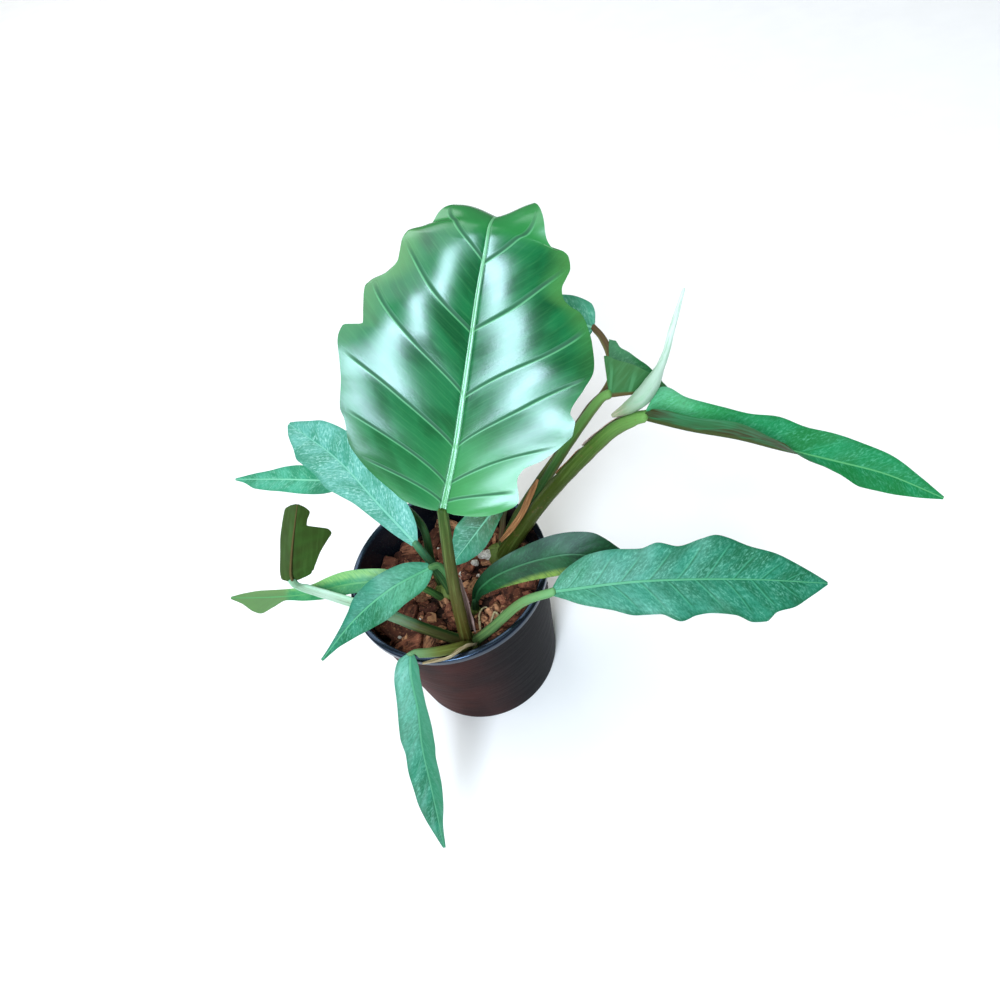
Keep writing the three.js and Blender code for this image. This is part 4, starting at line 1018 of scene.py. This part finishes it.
def leaf_under(name, skin, seed):
    """The paler underside, with pale side veins and a strong rib."""
    s = BladeShader(name, skin)
    dull = skin in ("bright", "olive")
    glossy = skin == "glossy"
    middle = s.colours["middle"]
    along, along_scale, across_scale = (s.x, 0.05, 0.5) if dull else (s.slanted, 0.45, 0.09)
    fibre = s.grain(along, along_scale, s.y, across_scale, seed)
    broad = s.grain(s.x, 0.035, s.y, 0.05, seed + 5)
    vein = s.along_veins(0.0, 0.3, 0.9, 0.1 if dull else 0.75)
    s.colour = s.colours["under"]
    s.paint(middle, s.ramp(broad, 0.4, 0.66, 0.0, 0.25 if glossy else 0.6))
    s.paint(s.colours["pale"], s.ramp(fibre, 0.4, 0.7, 0.0, 0.2 if dull else 0.3))
    s.paint(middle, s.along_veins(0.0, 0.6, 2.6, 0.35))
    s.paint("#b4cc9c" if glossy else s.colours["vein"], vein)
    s.paint(UNDER_RIBS.get(skin, PALE_UNDER_RIB), s.ramp(s.ratio, 1.1, 1.5, 1.0, 0.0))
    s.bump(s.math("MULTIPLY_ADD", fibre, 0.4, vein), 0.12)
    return s.finish(0.55, 0.12)


def stalk_skin():
    """Stalks: the tint along each, streaked lengthwise, with painted shade browner underneath."""
    s = Shader("stalk_skin")
    x, angle, side = s.carried("place")
    s.colour = s.node("ShaderNodeAttribute", {}, attribute_name="tint").outputs["Color"]
    round_x, round_y = s.math("COSINE", angle), s.math("SINE", angle)
    streaks = s.noise(s.vector(s.times(round_x, 2.6), s.times(round_y, 2.6), s.times(x, 0.03)), 1, 4, 0.6)
    marks = s.noise(s.vector(s.times(round_x, 2.0), round_y, s.times(x, 0.35)), 1, 3, 0.6)
    s.paint("#8ca85c", s.ramp(streaks, 0.45, 0.7, 0.0, 0.22))
    s.paint("#3c4a1c", s.ramp(streaks, 0.3, 0.45, 0.4, 0.0))
    s.paint("#6b5236", s.ramp(marks, 0.3, 0.4, 0.35, 0.0))
    # Painted shade: the underside of each stalk is browner and darker.
    s.paint("#574428", s.ramp(side, -0.95, -0.35, 0.45, 0.0))
    s.bump(streaks, 0.35)
    return s.finish(0.48, 0.12)


def dry_skin(name, base, dark, light):
    """Dry sheath: papery, with lengthwise fibres."""
    s = Shader(name, dark)
    x, y, _ = s.carried("place")
    fibre = s.grain(y, 2.2, x, 0.08, 1.0, 4, 0.65)
    s.paint(base, s.ramp(fibre, 0.4, 0.62))
    s.paint(light, s.ramp(fibre, 0.58, 0.72, 0.0, 0.8))
    s.bump(fibre, 0.5, 0.8)
    return s.finish(0.75, 0.3)


def spear_skin():
    """The new leaf: pale green and pinkish at its foot, nearly white above, with greener streaks."""
    s = Shader("spear_skin", "#7f9a70")
    x, angle, _ = s.carried("place")
    streaks = s.noise(s.vector(s.math("COSINE", angle), s.math("SINE", angle), s.times(x, 0.05)), 2.5, 4, 0.6)
    s.paint("#a2bea8", s.ramp(x, 4.0, 26.0))
    s.paint("#cfe2d8", s.ramp(x, 30.0, 70.0))
    s.paint("#84b48c", s.ramp(streaks, 0.42, 0.66, 0.0, 0.6))
    s.paint("#c9a597", s.times(s.ramp(x, 2.0, 16.0, 0.6, 0.0), s.ramp(streaks, 0.4, 0.6)))
    s.bump(streaks, 0.3)
    return s.finish(0.36, 0.5, Sheen_Weight=0.1)


def pot_skin(name, base, dark, gloss, shine, tint):
    """Moulded plastic: faint mottling, dust, fine scratches round the wall, painted shade towards the right.
    """
    s = Shader(name, dark)
    place = s.object_place()
    x, y, z = s.node("ShaderNodeSeparateXYZ", {0: place}).outputs
    cloud = s.noise(place, 0.035, 3, 0.55)
    dust = s.noise(place, 1.4, 3, 0.6)
    lines = s.grain(s.math("ARCTAN2", y, x), 1.2, z, 0.8, 0.0, 3, 0.6)
    # The mottled colour is the plastic's own; its fade from the left into the dark right side is painted
    # light and shade.
    s.paint(base, s.times(s.ramp(cloud, 0.3, 0.6, 0.5, 1.0), s.ramp(x, -35.0, 25.0, 1.0, 0.0)))
    s.paint("#8d7f7c", s.ramp(dust, 0.55, 0.8, 0.0, 0.1))
    s.bump(s.math("MULTIPLY_ADD", dust, 0.5, lines), 0.08)
    return s.finish(s.ramp(lines, 0.3, 0.7, gloss, gloss + 0.12), shine, Specular_Tint=tint)


def bark_skin():
    """Bark chips: each with its own tone, layered, darker where the outer bark is left."""
    s = Shader("bark_skin", "#3a211a")
    tone, second, _ = s.carried("chip")
    x, y, z = s.carried("place")
    layers = s.noise(s.vector(s.times(x, 0.12), s.times(y, 0.35), s.times(z, 1.3)), 1, 4, 0.6)
    crumbs = s.noise(s.vector(x, y, z), 0.55, 4, 0.65)
    brown = s.mix(s.ramp(second, 0.62, 0.9), s.mix(tone, "#4c2a20", "#9a6048"), "#c48e68")
    s.paint(brown, s.ramp(layers, 0.34, 0.6))
    s.paint("#c48e66", s.ramp(crumbs, 0.55, 0.74, 0.0, 0.7))
    s.paint("#2a1712", s.ramp(crumbs, 0.28, 0.42, 0.75, 0.0))
    s.bump(s.math("ADD", layers, crumbs), 0.9, 0.8)
    return s.finish(0.88, 0.2)


def plain_grain(name, base, dark, scale, rough, depth):
    """A rough mineral or soil surface of two tones."""
    s = Shader(name, dark)
    grain = s.noise(s.object_place(), scale, 5, 0.7)
    s.paint(base, s.ramp(grain, 0.38, 0.6))
    s.bump(grain, depth, 0.9)
    return s.finish(rough, 0.25)


def floor_skin():
    s = Shader("pale_floor", "#fafaf8")
    s.paint("#fdfdfb", s.ramp(s.noise(s.object_place(), 0.02), 0.3, 0.7))
    return s.finish(0.7, 0.2)


# Leaves, stalks and sheaths

def add_blade(name, leaf, seed):
    """One leaf blade, with another material below than above."""
    rows, columns = leaf.get("rows", BLADE_ROWS), leaf.get("columns", BLADE_COLUMNS)
    grid = blade_grid(leaf, int(rows * FINE), int(columns * FINE))
    points, faces, upper_count, attributes = sheet_mesh(grid, ("place", "vein"))
    skin = leaf["skin"]
    top = leaf_upper(f"leaf_{name}_upper", skin, LOOKS.get(name, {}), seed)
    below = leaf_under(f"leaf_{name}_under", skin, seed)
    of_face = np.arange(len(faces)) >= upper_count
    slot = BLADE_SLOTS.get(skin, "matte_leaf")
    nodes = [f"leaf_{name}"]
    new_piece(f"leaf_{name}_blade", points, faces, [top, below], slot, nodes, attributes, of_face, 55)


def tinted(codes, u):
    return spread([linear(code) for code in codes], u)


def add_stalk(name, leaf, node, material):
    """One leaf stalk, grooved along its upper side, that ends in line with the blade's middle rib."""
    curve = Curve(leaf["petiole"])
    end_way = Curve(leaf["midrib"]).way(np.array([0.0]))[0]
    steps = max(12, int(curve.length * STALK_STEPS_PER_MM * FINE))
    points, faces, place = tube(
        curve, leaf["radius"], STALK_SIDES, steps, leaf["face"][0], end_way, wobble=STALK_WOBBLE,
    )
    tint = tinted(STALK_TINTS[name], place[:, 0] / curve.length)
    new_piece(f"stalk_{name}", points, faces, [material], "stem", [node], {"place": place, "tint": tint})


def add_crown(name, crown, material):
    """The short ringed crown that a shoot's stalks rise from."""
    radius, top = crown["radius"], crown["top"]
    profile = [(0, CROWN_BOTTOM), (0.8 * radius, CROWN_BOTTOM), (radius, CROWN_BOTTOM + 0.8 * radius)]
    heights = np.linspace(CROWN_BOTTOM + radius, top - 0.7 * radius, CROWN_RINGS)
    profile += [(radius * (0.97 + 0.03 * math.cos(1.7 * i)), z) for i, z in enumerate(heights)]
    profile += [(0.93 * radius, top - 0.45 * radius), (0.78 * radius, top - 0.2 * radius)]
    profile += [(0.5 * radius, top), (0.2 * radius, top + 0.4), (0, top + 0.4)]
    points, faces = turned(profile, CROWN_SIDES)
    height = points[:, 2]
    angle = np.arctan2(points[:, 1], points[:, 0])
    points[:, :2] *= (1 + 0.04 * np.sin(5 * angle + height * 0.3))[:, None]
    place = np.stack([height, angle, 0 * angle], -1)
    tint = tinted(CROWN_TINTS, (height - CROWN_TINT_FROM) / (top - CROWN_TINT_FROM))
    points[:, :2] += (crown["x"], crown["y"])
    attributes = {"place": place, "tint": tint}
    new_piece(f"crown_{name}", points, faces, [material], "stem", [f"shoot_{name}"], attributes)


def add_sheath(name, sheath, material):
    """One dry sheath: a small folded blade without veins."""
    leaf = dict(SHEATH_FORM, right=sheath["left"], **sheath)
    grid = blade_grid(leaf, int(SHEATH_ROWS * FINE), int(SHEATH_COLUMNS * FINE))
    points, faces, _, attributes = sheet_mesh(grid, ("place",))
    slot = "dry_sheath_pink" if sheath["skin"] == "pink" else "dry_sheath_tan"
    nodes = [f"sheath_{name}"]
    new_piece(f"sheath_{name}_piece", points, faces, [material], slot, nodes, attributes, sharp=60)


def add_wrap(name, wrap, material):
    """A strip of old sheath that hugs the thick stalk."""
    leaf = LEAVES["right_top"]
    curve = Curve(leaf["petiole"])
    rows, columns = int(WRAP_ROWS * FINE), WRAP_COLUMNS
    u = np.linspace(wrap["start"], wrap["end"], rows + 1)
    across, up = cross_section(curve.way(u), np.array([leaf["face"][0]]))
    share = np.linspace(0, 1, rows + 1)[:, None]
    taper = np.sin(np.pi * np.clip(share * 0.9 + 0.08, 0, 1)) ** 0.5
    side = np.linspace(-1, 1, columns + 1)[None]
    angle = np.radians(wrap["turn"]) + np.radians(wrap["half"]) * side * taper
    lift = wrap["lift"] * (1 + 0.8 * side**2 * np.sin(7 * share + 1))
    radius = spread(leaf["radius"], u)[:, None] + lift
    sheets = [around(curve.at(u), across, up, radius + extra, angle) for extra in (WRAP_THICKNESS, 0)]
    points = np.concatenate([sheet.reshape(-1, 3) for sheet in sheets])
    faces, _ = sheet_faces(rows + 1, columns + 1)
    flat = np.stack(np.broadcast_arrays(u[:, None] * curve.length, side * 4.0, 0.0 * side), -1)
    attributes = {"place": np.concatenate([flat.reshape(-1, 3)] * 2)}
    slot = "dry_sheath_tan" if wrap["skin"] == "tan" else "new_leaf"
    faces = faces[:, ::-1]
    new_piece(f"stalk_wrap_{name}", points, faces, [material], slot, ["shoot_back"], attributes, sharp=60)


def add_spear():
    """The new leaf, still rolled, with the seam of its roll winding up it."""
    steps = int(SPEAR_STEPS * FINE)
    points, faces, place = tube(Curve(SPEAR_POINTS), SPEAR_RADII, SPEAR_SIDES, steps, seam=SPEAR_SEAM)
    new_piece("new_leaf_spear", points, faces, [spear_skin()], "new_leaf", ["leaf_spear"], {"place": place})


# Pot

def outer_radius(z):
    return BASE_RADIUS + (RIM_RADIUS - RIM_LIP - BASE_RADIUS) * z / (POT_HEIGHT - RIM_HEIGHT)


def inner_radius(z):
    return outer_radius(z) - POT_WALL


def arc(centre, radius, start, end, count):
    """Points of an arc in the profile's plane, angles in degrees."""
    angles = np.radians(np.linspace(start, end, count))
    return [(centre[0] + radius * math.cos(a), centre[1] + radius * math.sin(a)) for a in angles]


def add_pot():
    """The pot, turned from its profile. Its rim and inside are darker and glossier than its wall."""
    lip_bottom = POT_HEIGHT - RIM_HEIGHT
    inner = inner_radius(POT_HEIGHT)
    profile = [(0, 0), (BASE_RADIUS - 6, 0)]
    profile += arc((BASE_RADIUS - FOOT_ROUND, FOOT_ROUND), FOOT_ROUND, -90, 0, 7)
    profile += [(outer_radius(z), z) for z in np.linspace(FOOT_ROUND + 1, lip_bottom - 1, 24)]
    profile += arc((RIM_RADIUS - RIM_ROUND, lip_bottom + RIM_ROUND), RIM_ROUND, -80, 0, 6)
    first_dark_row = len(profile) - 2
    profile += arc((RIM_RADIUS - RIM_ROUND, POT_HEIGHT - RIM_ROUND), RIM_ROUND, 0, 90, 7)
    profile += arc((inner + RIM_ROUND, POT_HEIGHT - RIM_ROUND), RIM_ROUND, 90, 180, 7)
    profile += [(inner_radius(z), z) for z in np.linspace(POT_HEIGHT - 3, POT_FLOOR + 1, 20)]
    profile += [(inner_radius(POT_FLOOR) - 1, POT_FLOOR), (0, POT_FLOOR)]
    points, faces = turned(profile, POT_SEGMENTS)
    of_face = [min(face) // POT_SEGMENTS >= first_dark_row for face in faces]
    wall = pot_skin("pot_outside", "#421d19", "#0d0a0d", 0.5, 0.05, "#ffffff")
    inside = pot_skin("pot_inside", "#151b24", "#0e1218", 0.12, 0.6, "#a8d0ff")
    pot = new_piece("nursery_pot", points, faces, [wall, inside], "pot", ["pot"], of_face=of_face, sharp=50)
    cut_drain_holes(pot)


def cut_drain_holes(pot):
    """A circle of round holes through the pot's floor."""
    holes = bpy.data.collections.new("drain_holes")
    for k in range(DRAIN_HOLES):
        angle = 2 * math.pi * k / DRAIN_HOLES
        place = (DRAIN_CIRCLE * math.cos(angle) * MM, DRAIN_CIRCLE * math.sin(angle) * MM, 0)
        bpy.ops.mesh.primitive_cylinder_add(
            vertices=32, radius=DRAIN_RADIUS * MM, depth=DRAIN_CUT * MM, location=place,
        )
        holes.objects.link(bpy.context.object)
        bpy.context.scene.collection.objects.unlink(bpy.context.object)
    cut = pot.modifiers.new("drain", "BOOLEAN")
    cut.operand_type = "COLLECTION"
    cut.collection = holes
    cut.operation = "DIFFERENCE"
    cut.solver = "EXACT"
    evaluated = pot.evaluated_get(bpy.context.evaluated_depsgraph_get())
    mesh = bpy.data.meshes.new_from_object(evaluated)
    pot.modifiers.clear()
    pot.data = mesh
    for cutter in list(holes.objects):
        bpy.data.objects.remove(cutter)


# Mix

class Draw:
    """Repeatable random numbers, the same as the solids use."""

    def __init__(self, state=20):
        self.state = state

    def value(self):
        self.state = (self.state * 1664525 + 1013904223) % 2**32
        return self.state / 2**32

    def between(self, low, high):
        return low + (high - low) * self.value()


def mix_height(x, y):
    wave = HUMP_HEIGHT * np.sin(x / HUMP_SPREAD[0] + HUMP_SHIFT) * np.cos(y / HUMP_SPREAD[1])
    return MIX_MIDDLE + MIX_SLOPE * y + wave


def low_points():
    """Points of stalks and blades that pass low over the mix, with the room that each needs."""
    u = np.linspace(0, 1, 21)
    found = []
    for leaf in LEAVES.values():
        half = np.maximum(smooth_through(leaf["left"], u), smooth_through(leaf["right"], u))
        found += list(zip(Curve(leaf["petiole"]).at(u), spread(leaf["radius"], u)))
        found += list(zip(Curve(leaf["midrib"]).at(u), half))
    return found


def turn_matrix(rx, ry, rz):
    return np.array(Matrix.Rotation(rz, 3, "Z") @ Matrix.Rotation(ry, 3, "Y") @ Matrix.Rotation(rx, 3, "X"))


def cube_grid(n):
    """Points over a cube from -1 to 1, each face split n by n, and its faces."""
    points, faces = {}, []
    for axis, sign, i, j in itertools.product(range(3), (-1, 1), range(n), range(n)):
        quad = []
        for di, dj in ((0, 0), (1, 0), (1, 1), (0, 1)):
            point = [0.0, 0.0, 0.0]
            point[axis] = float(sign)
            point[(axis + 1) % 3] = 2 * (i + di) / n - 1
            point[(axis + 2) % 3] = 2 * (j + dj) / n - 1
            number, _ = points.setdefault(tuple(round(v, 6) for v in point), (len(points), point))
            quad.append(number)
        faces.append(quad if sign > 0 else quad[::-1])
    return np.array([point for _, point in points.values()]), np.array(faces)


def chip_points(cube, size, jitter, rng, rounding, rough):
    """A block with uneven corners, rounded edges and layered sides."""
    shaped = cube / (np.abs(cube) ** rounding).sum(1, keepdims=True) ** (1 / rounding)
    weights = np.prod((1 + np.array(CUBE_CORNERS)[None] * shaped[:, None]) / 2, axis=2)
    points = weights @ (np.array(CUBE_CORNERS) * np.array(size) / 2 + np.array(jitter))
    lumps = sum(np.sin(points @ rng.normal(0, LUMP_FREQUENCY, 3) + rng.uniform(0, 6.28)) for _ in range(4))
    layers = np.abs(((points[:, 2] / LAYER_SPACING + rng.uniform()) % 1.0) - 0.5)
    swell = rough * (LUMP_HEIGHT * lumps + LAYER_HEIGHT * layers)
    return points + unit(points + 1e-6) * swell[:, None]


def large_chips(rng, stems):
    """The chips of the solids: points in the chip's own frame and in the pot, faces and two tones."""
    draw = Draw()
    cube, cube_faces = cube_grid(6 if FINE == 1 else 3)
    golden = math.pi * (3 - math.sqrt(5))
    chips = []
    for i in range(CHIP_PLACES):
        reach = (inner_radius(MIX_MIDDLE) - 4) * math.sqrt((i + 0.5) / CHIP_PLACES)
        x, y = reach * math.cos(i * golden), reach * math.sin(i * golden)
        size = [draw.between(*CHIP_LENGTH), draw.between(*CHIP_BREADTH), draw.between(*CHIP_DEPTH)]
        z = mix_height(x, y) + size[2] * draw.between(*CHIP_RISE)
        top = z + size[2] / 2 + CHIP_TIP_RISE * (size[0] / 2)
        blocked = any(
            math.hypot(at[0] - x, at[1] - y) < size[0] / 2 + room + CHIP_CLEARANCE
            and at[2] - room / 2 - CHIP_ROOM_ABOVE < top and at[2] > z - CHIP_DEPTH_BELOW
            for at, room in stems
        )
        jitter = [
            [along * draw.between(-CHIP_UNEVENNESS, CHIP_UNEVENNESS) for along in size] for _ in range(8)
        ]
        tilts = [draw.between(-CHIP_TILT, CHIP_TILT) for _ in range(2)]
        turn = turn_matrix(*tilts, draw.between(0, math.pi))
        if not blocked:
            local = chip_points(cube, size, jitter, rng, rounding=7, rough=0.35)
            chips.append((local, local @ turn.T + (x, y, z), cube_faces, rng.uniform(), rng.uniform()))
    return chips


def small_chips(rng, stems):
    """Smaller chips and crumbs between the large ones, each in the same form."""
    cube, cube_faces = cube_grid(3)
    chips = []
    for _ in range(int(SMALL_CHIPS * FINE)):
        reach = (inner_radius(MIX_MIDDLE) - 3) * math.sqrt(rng.uniform())
        angle = rng.uniform(0, 2 * math.pi)
        x, y = reach * math.cos(angle), reach * math.sin(angle)
        length = rng.uniform(*SMALL_CHIP_LENGTH)
        breadth = length * rng.uniform(*SMALL_CHIP_BREADTH)
        size = [length, breadth, length * rng.uniform(*SMALL_CHIP_DEPTH)]
        z = mix_height(x, y) + size[2] * rng.uniform(*SMALL_CHIP_RISE)
        if any(
            math.hypot(at[0] - x, at[1] - y) < room + 1.0 and z - 4 < at[2] - room < z + length
            for at, room in stems
        ):
            continue
        jitter = rng.normal(0, SMALL_CHIP_UNEVENNESS, (8, 3)) * size
        local = chip_points(cube, size, jitter, rng, rounding=6, rough=0.12)
        tilts = rng.uniform(-SMALL_CHIP_TILT, SMALL_CHIP_TILT, 2)
        turn = turn_matrix(*tilts, rng.uniform(0, math.pi))
        chips.append((local, local @ turn.T + (x, y, z), cube_faces, rng.uniform(), rng.uniform()))
    return chips


def add_mix():
    """The mix: all chips as one piece, kept inside the pot, and the bed between them."""
    rng = np.random.default_rng(CHIP_SEED)
    stems = low_points()
    parts, place, tone = [], [], []
    for local, world, faces, first, second in large_chips(rng, stems) + small_chips(rng, stems):
        limit = inner_radius(world[:, 2]) - GAP
        reach = np.hypot(world[:, 0], world[:, 1])
        world[:, :2] *= np.minimum(1, limit / np.maximum(reach, 1e-6))[:, None]
        parts.append((world, faces))
        place.append(local + 40 * first)
        tone.append(np.tile([first, second, 0], (len(world), 1)))
    points, faces = joined(parts)
    attributes = {"place": np.concatenate(place), "chip": np.concatenate(tone)}
    new_piece("bark_chips", points, faces, [bark_skin()], "bark", ["potting_mix"], attributes, sharp=40)
    add_bed()


def add_bed():
    """The soil between the chips: a closed shape from the pot's floor to an uneven top."""
    bottom = POT_FLOOR + GAP
    angle = np.linspace(0, 2 * np.pi, BED_SIDES, endpoint=False)
    steps = np.linspace(inner_radius(MIX_MIDDLE) - 1, 2, BED_RINGS)
    reach = np.concatenate([[inner_radius(bottom) - 1], steps])[:, None]
    x, y = reach * np.cos(angle), reach * np.sin(angle)
    z = mix_height(x, y) + BED_LUMPS * (np.sin(x * 1.3) * np.sin(y * 1.7) - 1)
    z[0] = bottom
    points = np.stack([x, y, z], -1).reshape(-1, 3)
    skin = plain_grain("mix_bed_skin", "#3a251d", "#1c110d", 0.5, 0.95, 1.2)
    new_piece("mix_bed", points, capped_faces(len(reach), BED_SIDES), [skin], "bark", ["potting_mix"])


def add_pumice():
    """Pale pumice: the bits in the photograph, and small grains strewn over the mix."""
    rng = np.random.default_rng(PUMICE_SEED)
    cube, cube_faces = cube_grid(7)
    grains = list(PUMICE)
    for _ in range(SMALL_PUMICE):
        reach, angle = PUMICE_REACH * math.sqrt(rng.uniform()), rng.uniform(0, 2 * math.pi)
        x, y = reach * math.cos(angle), reach * math.sin(angle)
        grains.append((x, y, float(mix_height(x, y)) + PUMICE_RISE, rng.uniform(*PUMICE_ACROSS)))
    parts = []
    for x, y, z, across in grains:
        breadth = across * rng.uniform(*PUMICE_BREADTH)
        size = [across, breadth, across * rng.uniform(*PUMICE_DEPTH)]
        jitter = rng.normal(0, PUMICE_UNEVENNESS, (8, 3)) * size
        local = chip_points(cube, size, jitter, rng, rounding=3, rough=0.14)
        turn = turn_matrix(*rng.uniform(-PUMICE_TILT, PUMICE_TILT, 2), rng.uniform(0, math.pi))
        parts.append((local @ turn.T + (x, y, z), cube_faces))
    skin = plain_grain("pumice_skin", "#f0ece2", "#b9b2a4", 0.8, 0.9, 0.8)
    new_piece("pumice", *joined(parts), [skin], "pumice", ["potting_mix"])


def add_roots():
    """Thin pale roots that lie on the mix."""
    skin = plain_grain("root_skin", "#c9bf95", "#8c7c58", 0.7, 0.7, 0.3)
    for i, places in enumerate(ROOTS):
        steps = int(ROOT_STEPS * FINE)
        points, faces, _ = tube(Curve(places), ROOT_RADII, ROOT_SIDES, steps, wobble=ROOT_WOBBLE)
        new_piece(f"root_{i}", points, faces, [skin], "bark", ["potting_mix"])


# Stage, light and camera

def add_stage():
    bpy.ops.mesh.primitive_plane_add(size=FLOOR_SIZE)
    floor = bpy.context.object
    floor.name = "floor"
    floor.data.materials.append(floor_skin())


def placed(place, *axes):
    """The matrix that stands at a place and has its X, Y and Z along three directions."""
    return Matrix.Translation(place) @ Matrix(np.column_stack(axes).tolist()).to_4x4()


def add_light(name, place, aim, size, power, colour):
    """A rectangular light of a size in metres and a power in watts that looks from a place to an aim."""
    lamp = bpy.data.lights.new(name, "AREA")
    lamp.shape = "RECTANGLE"
    lamp.size, lamp.size_y = size
    lamp.energy = power
    lamp.color = linear(colour)[:3]
    light = bpy.data.objects.new(name, lamp)
    back = unit(np.array(place, float) - np.array(aim, float))
    side = unit(np.cross((0, 0, 1), back))
    light.matrix_world = placed(place, side, np.cross(back, side), back)
    bpy.context.scene.collection.objects.link(light)


def add_world():
    """Faint even light from all round."""
    world = bpy.data.worlds.new("studio")
    world.use_nodes = True
    background = world.node_tree.nodes["Background"]
    background.inputs["Color"].default_value = linear("#eef6fa")
    background.inputs["Strength"].default_value = WORLD_STRENGTH
    bpy.context.scene.world = world


def add_camera():
    """The camera that sees the plant as the photograph does."""
    down, roll = math.radians(CAMERA_DOWN), math.radians(CAMERA_ROLL)
    look = np.array([0, math.cos(down), -math.sin(down)])
    side = unit(np.cross(look, (0, 0, 1)))
    top = np.cross(side, look)
    right = math.cos(roll) * side + math.sin(roll) * top
    up = math.cos(roll) * top - math.sin(roll) * side
    lens = bpy.data.cameras.new("camera")
    lens.sensor_fit = "HORIZONTAL"
    lens.sensor_width = SENSOR
    lens.lens = FOCAL_SHARE * SENSOR
    lens.clip_start = 0.01
    camera = bpy.data.objects.new("camera", lens)
    camera.matrix_world = placed([value * MM for value in CAMERA_PLACE], right, up, -look)
    bpy.context.scene.collection.objects.link(camera)
    bpy.context.scene.camera = camera


add_camera()
add_stage()
add_world()
for light_name, light_values in LIGHTS.items():
    add_light(light_name, *light_values)
add_pot()
add_mix()
add_pumice()
add_roots()
stalk_material = stalk_skin()
for shoot_name, shoot in SHOOTS.items():
    add_crown(shoot_name, shoot, stalk_material)
    for leaf_name in shoot["leaves"]:
        add_stalk(leaf_name, LEAVES[leaf_name], f"shoot_{shoot_name}", stalk_material)
for number, (leaf_name, leaf_values) in enumerate(LEAVES.items()):
    add_blade(leaf_name, leaf_values, BLADE_SEED_STEP * number)
dry_skins = {key: dry_skin(*values) for key, values in DRY_SKINS.items()}
for sheath_name, sheath_values in SHEATHS.items():
    add_sheath(sheath_name, sheath_values, dry_skins[sheath_values["skin"]])
for wrap_name, wrap_values in WRAPS.items():
    add_wrap(wrap_name, wrap_values, dry_skins[wrap_values["skin"]])
add_spear()
bpy.context.scene.view_settings.view_transform = "Standard"
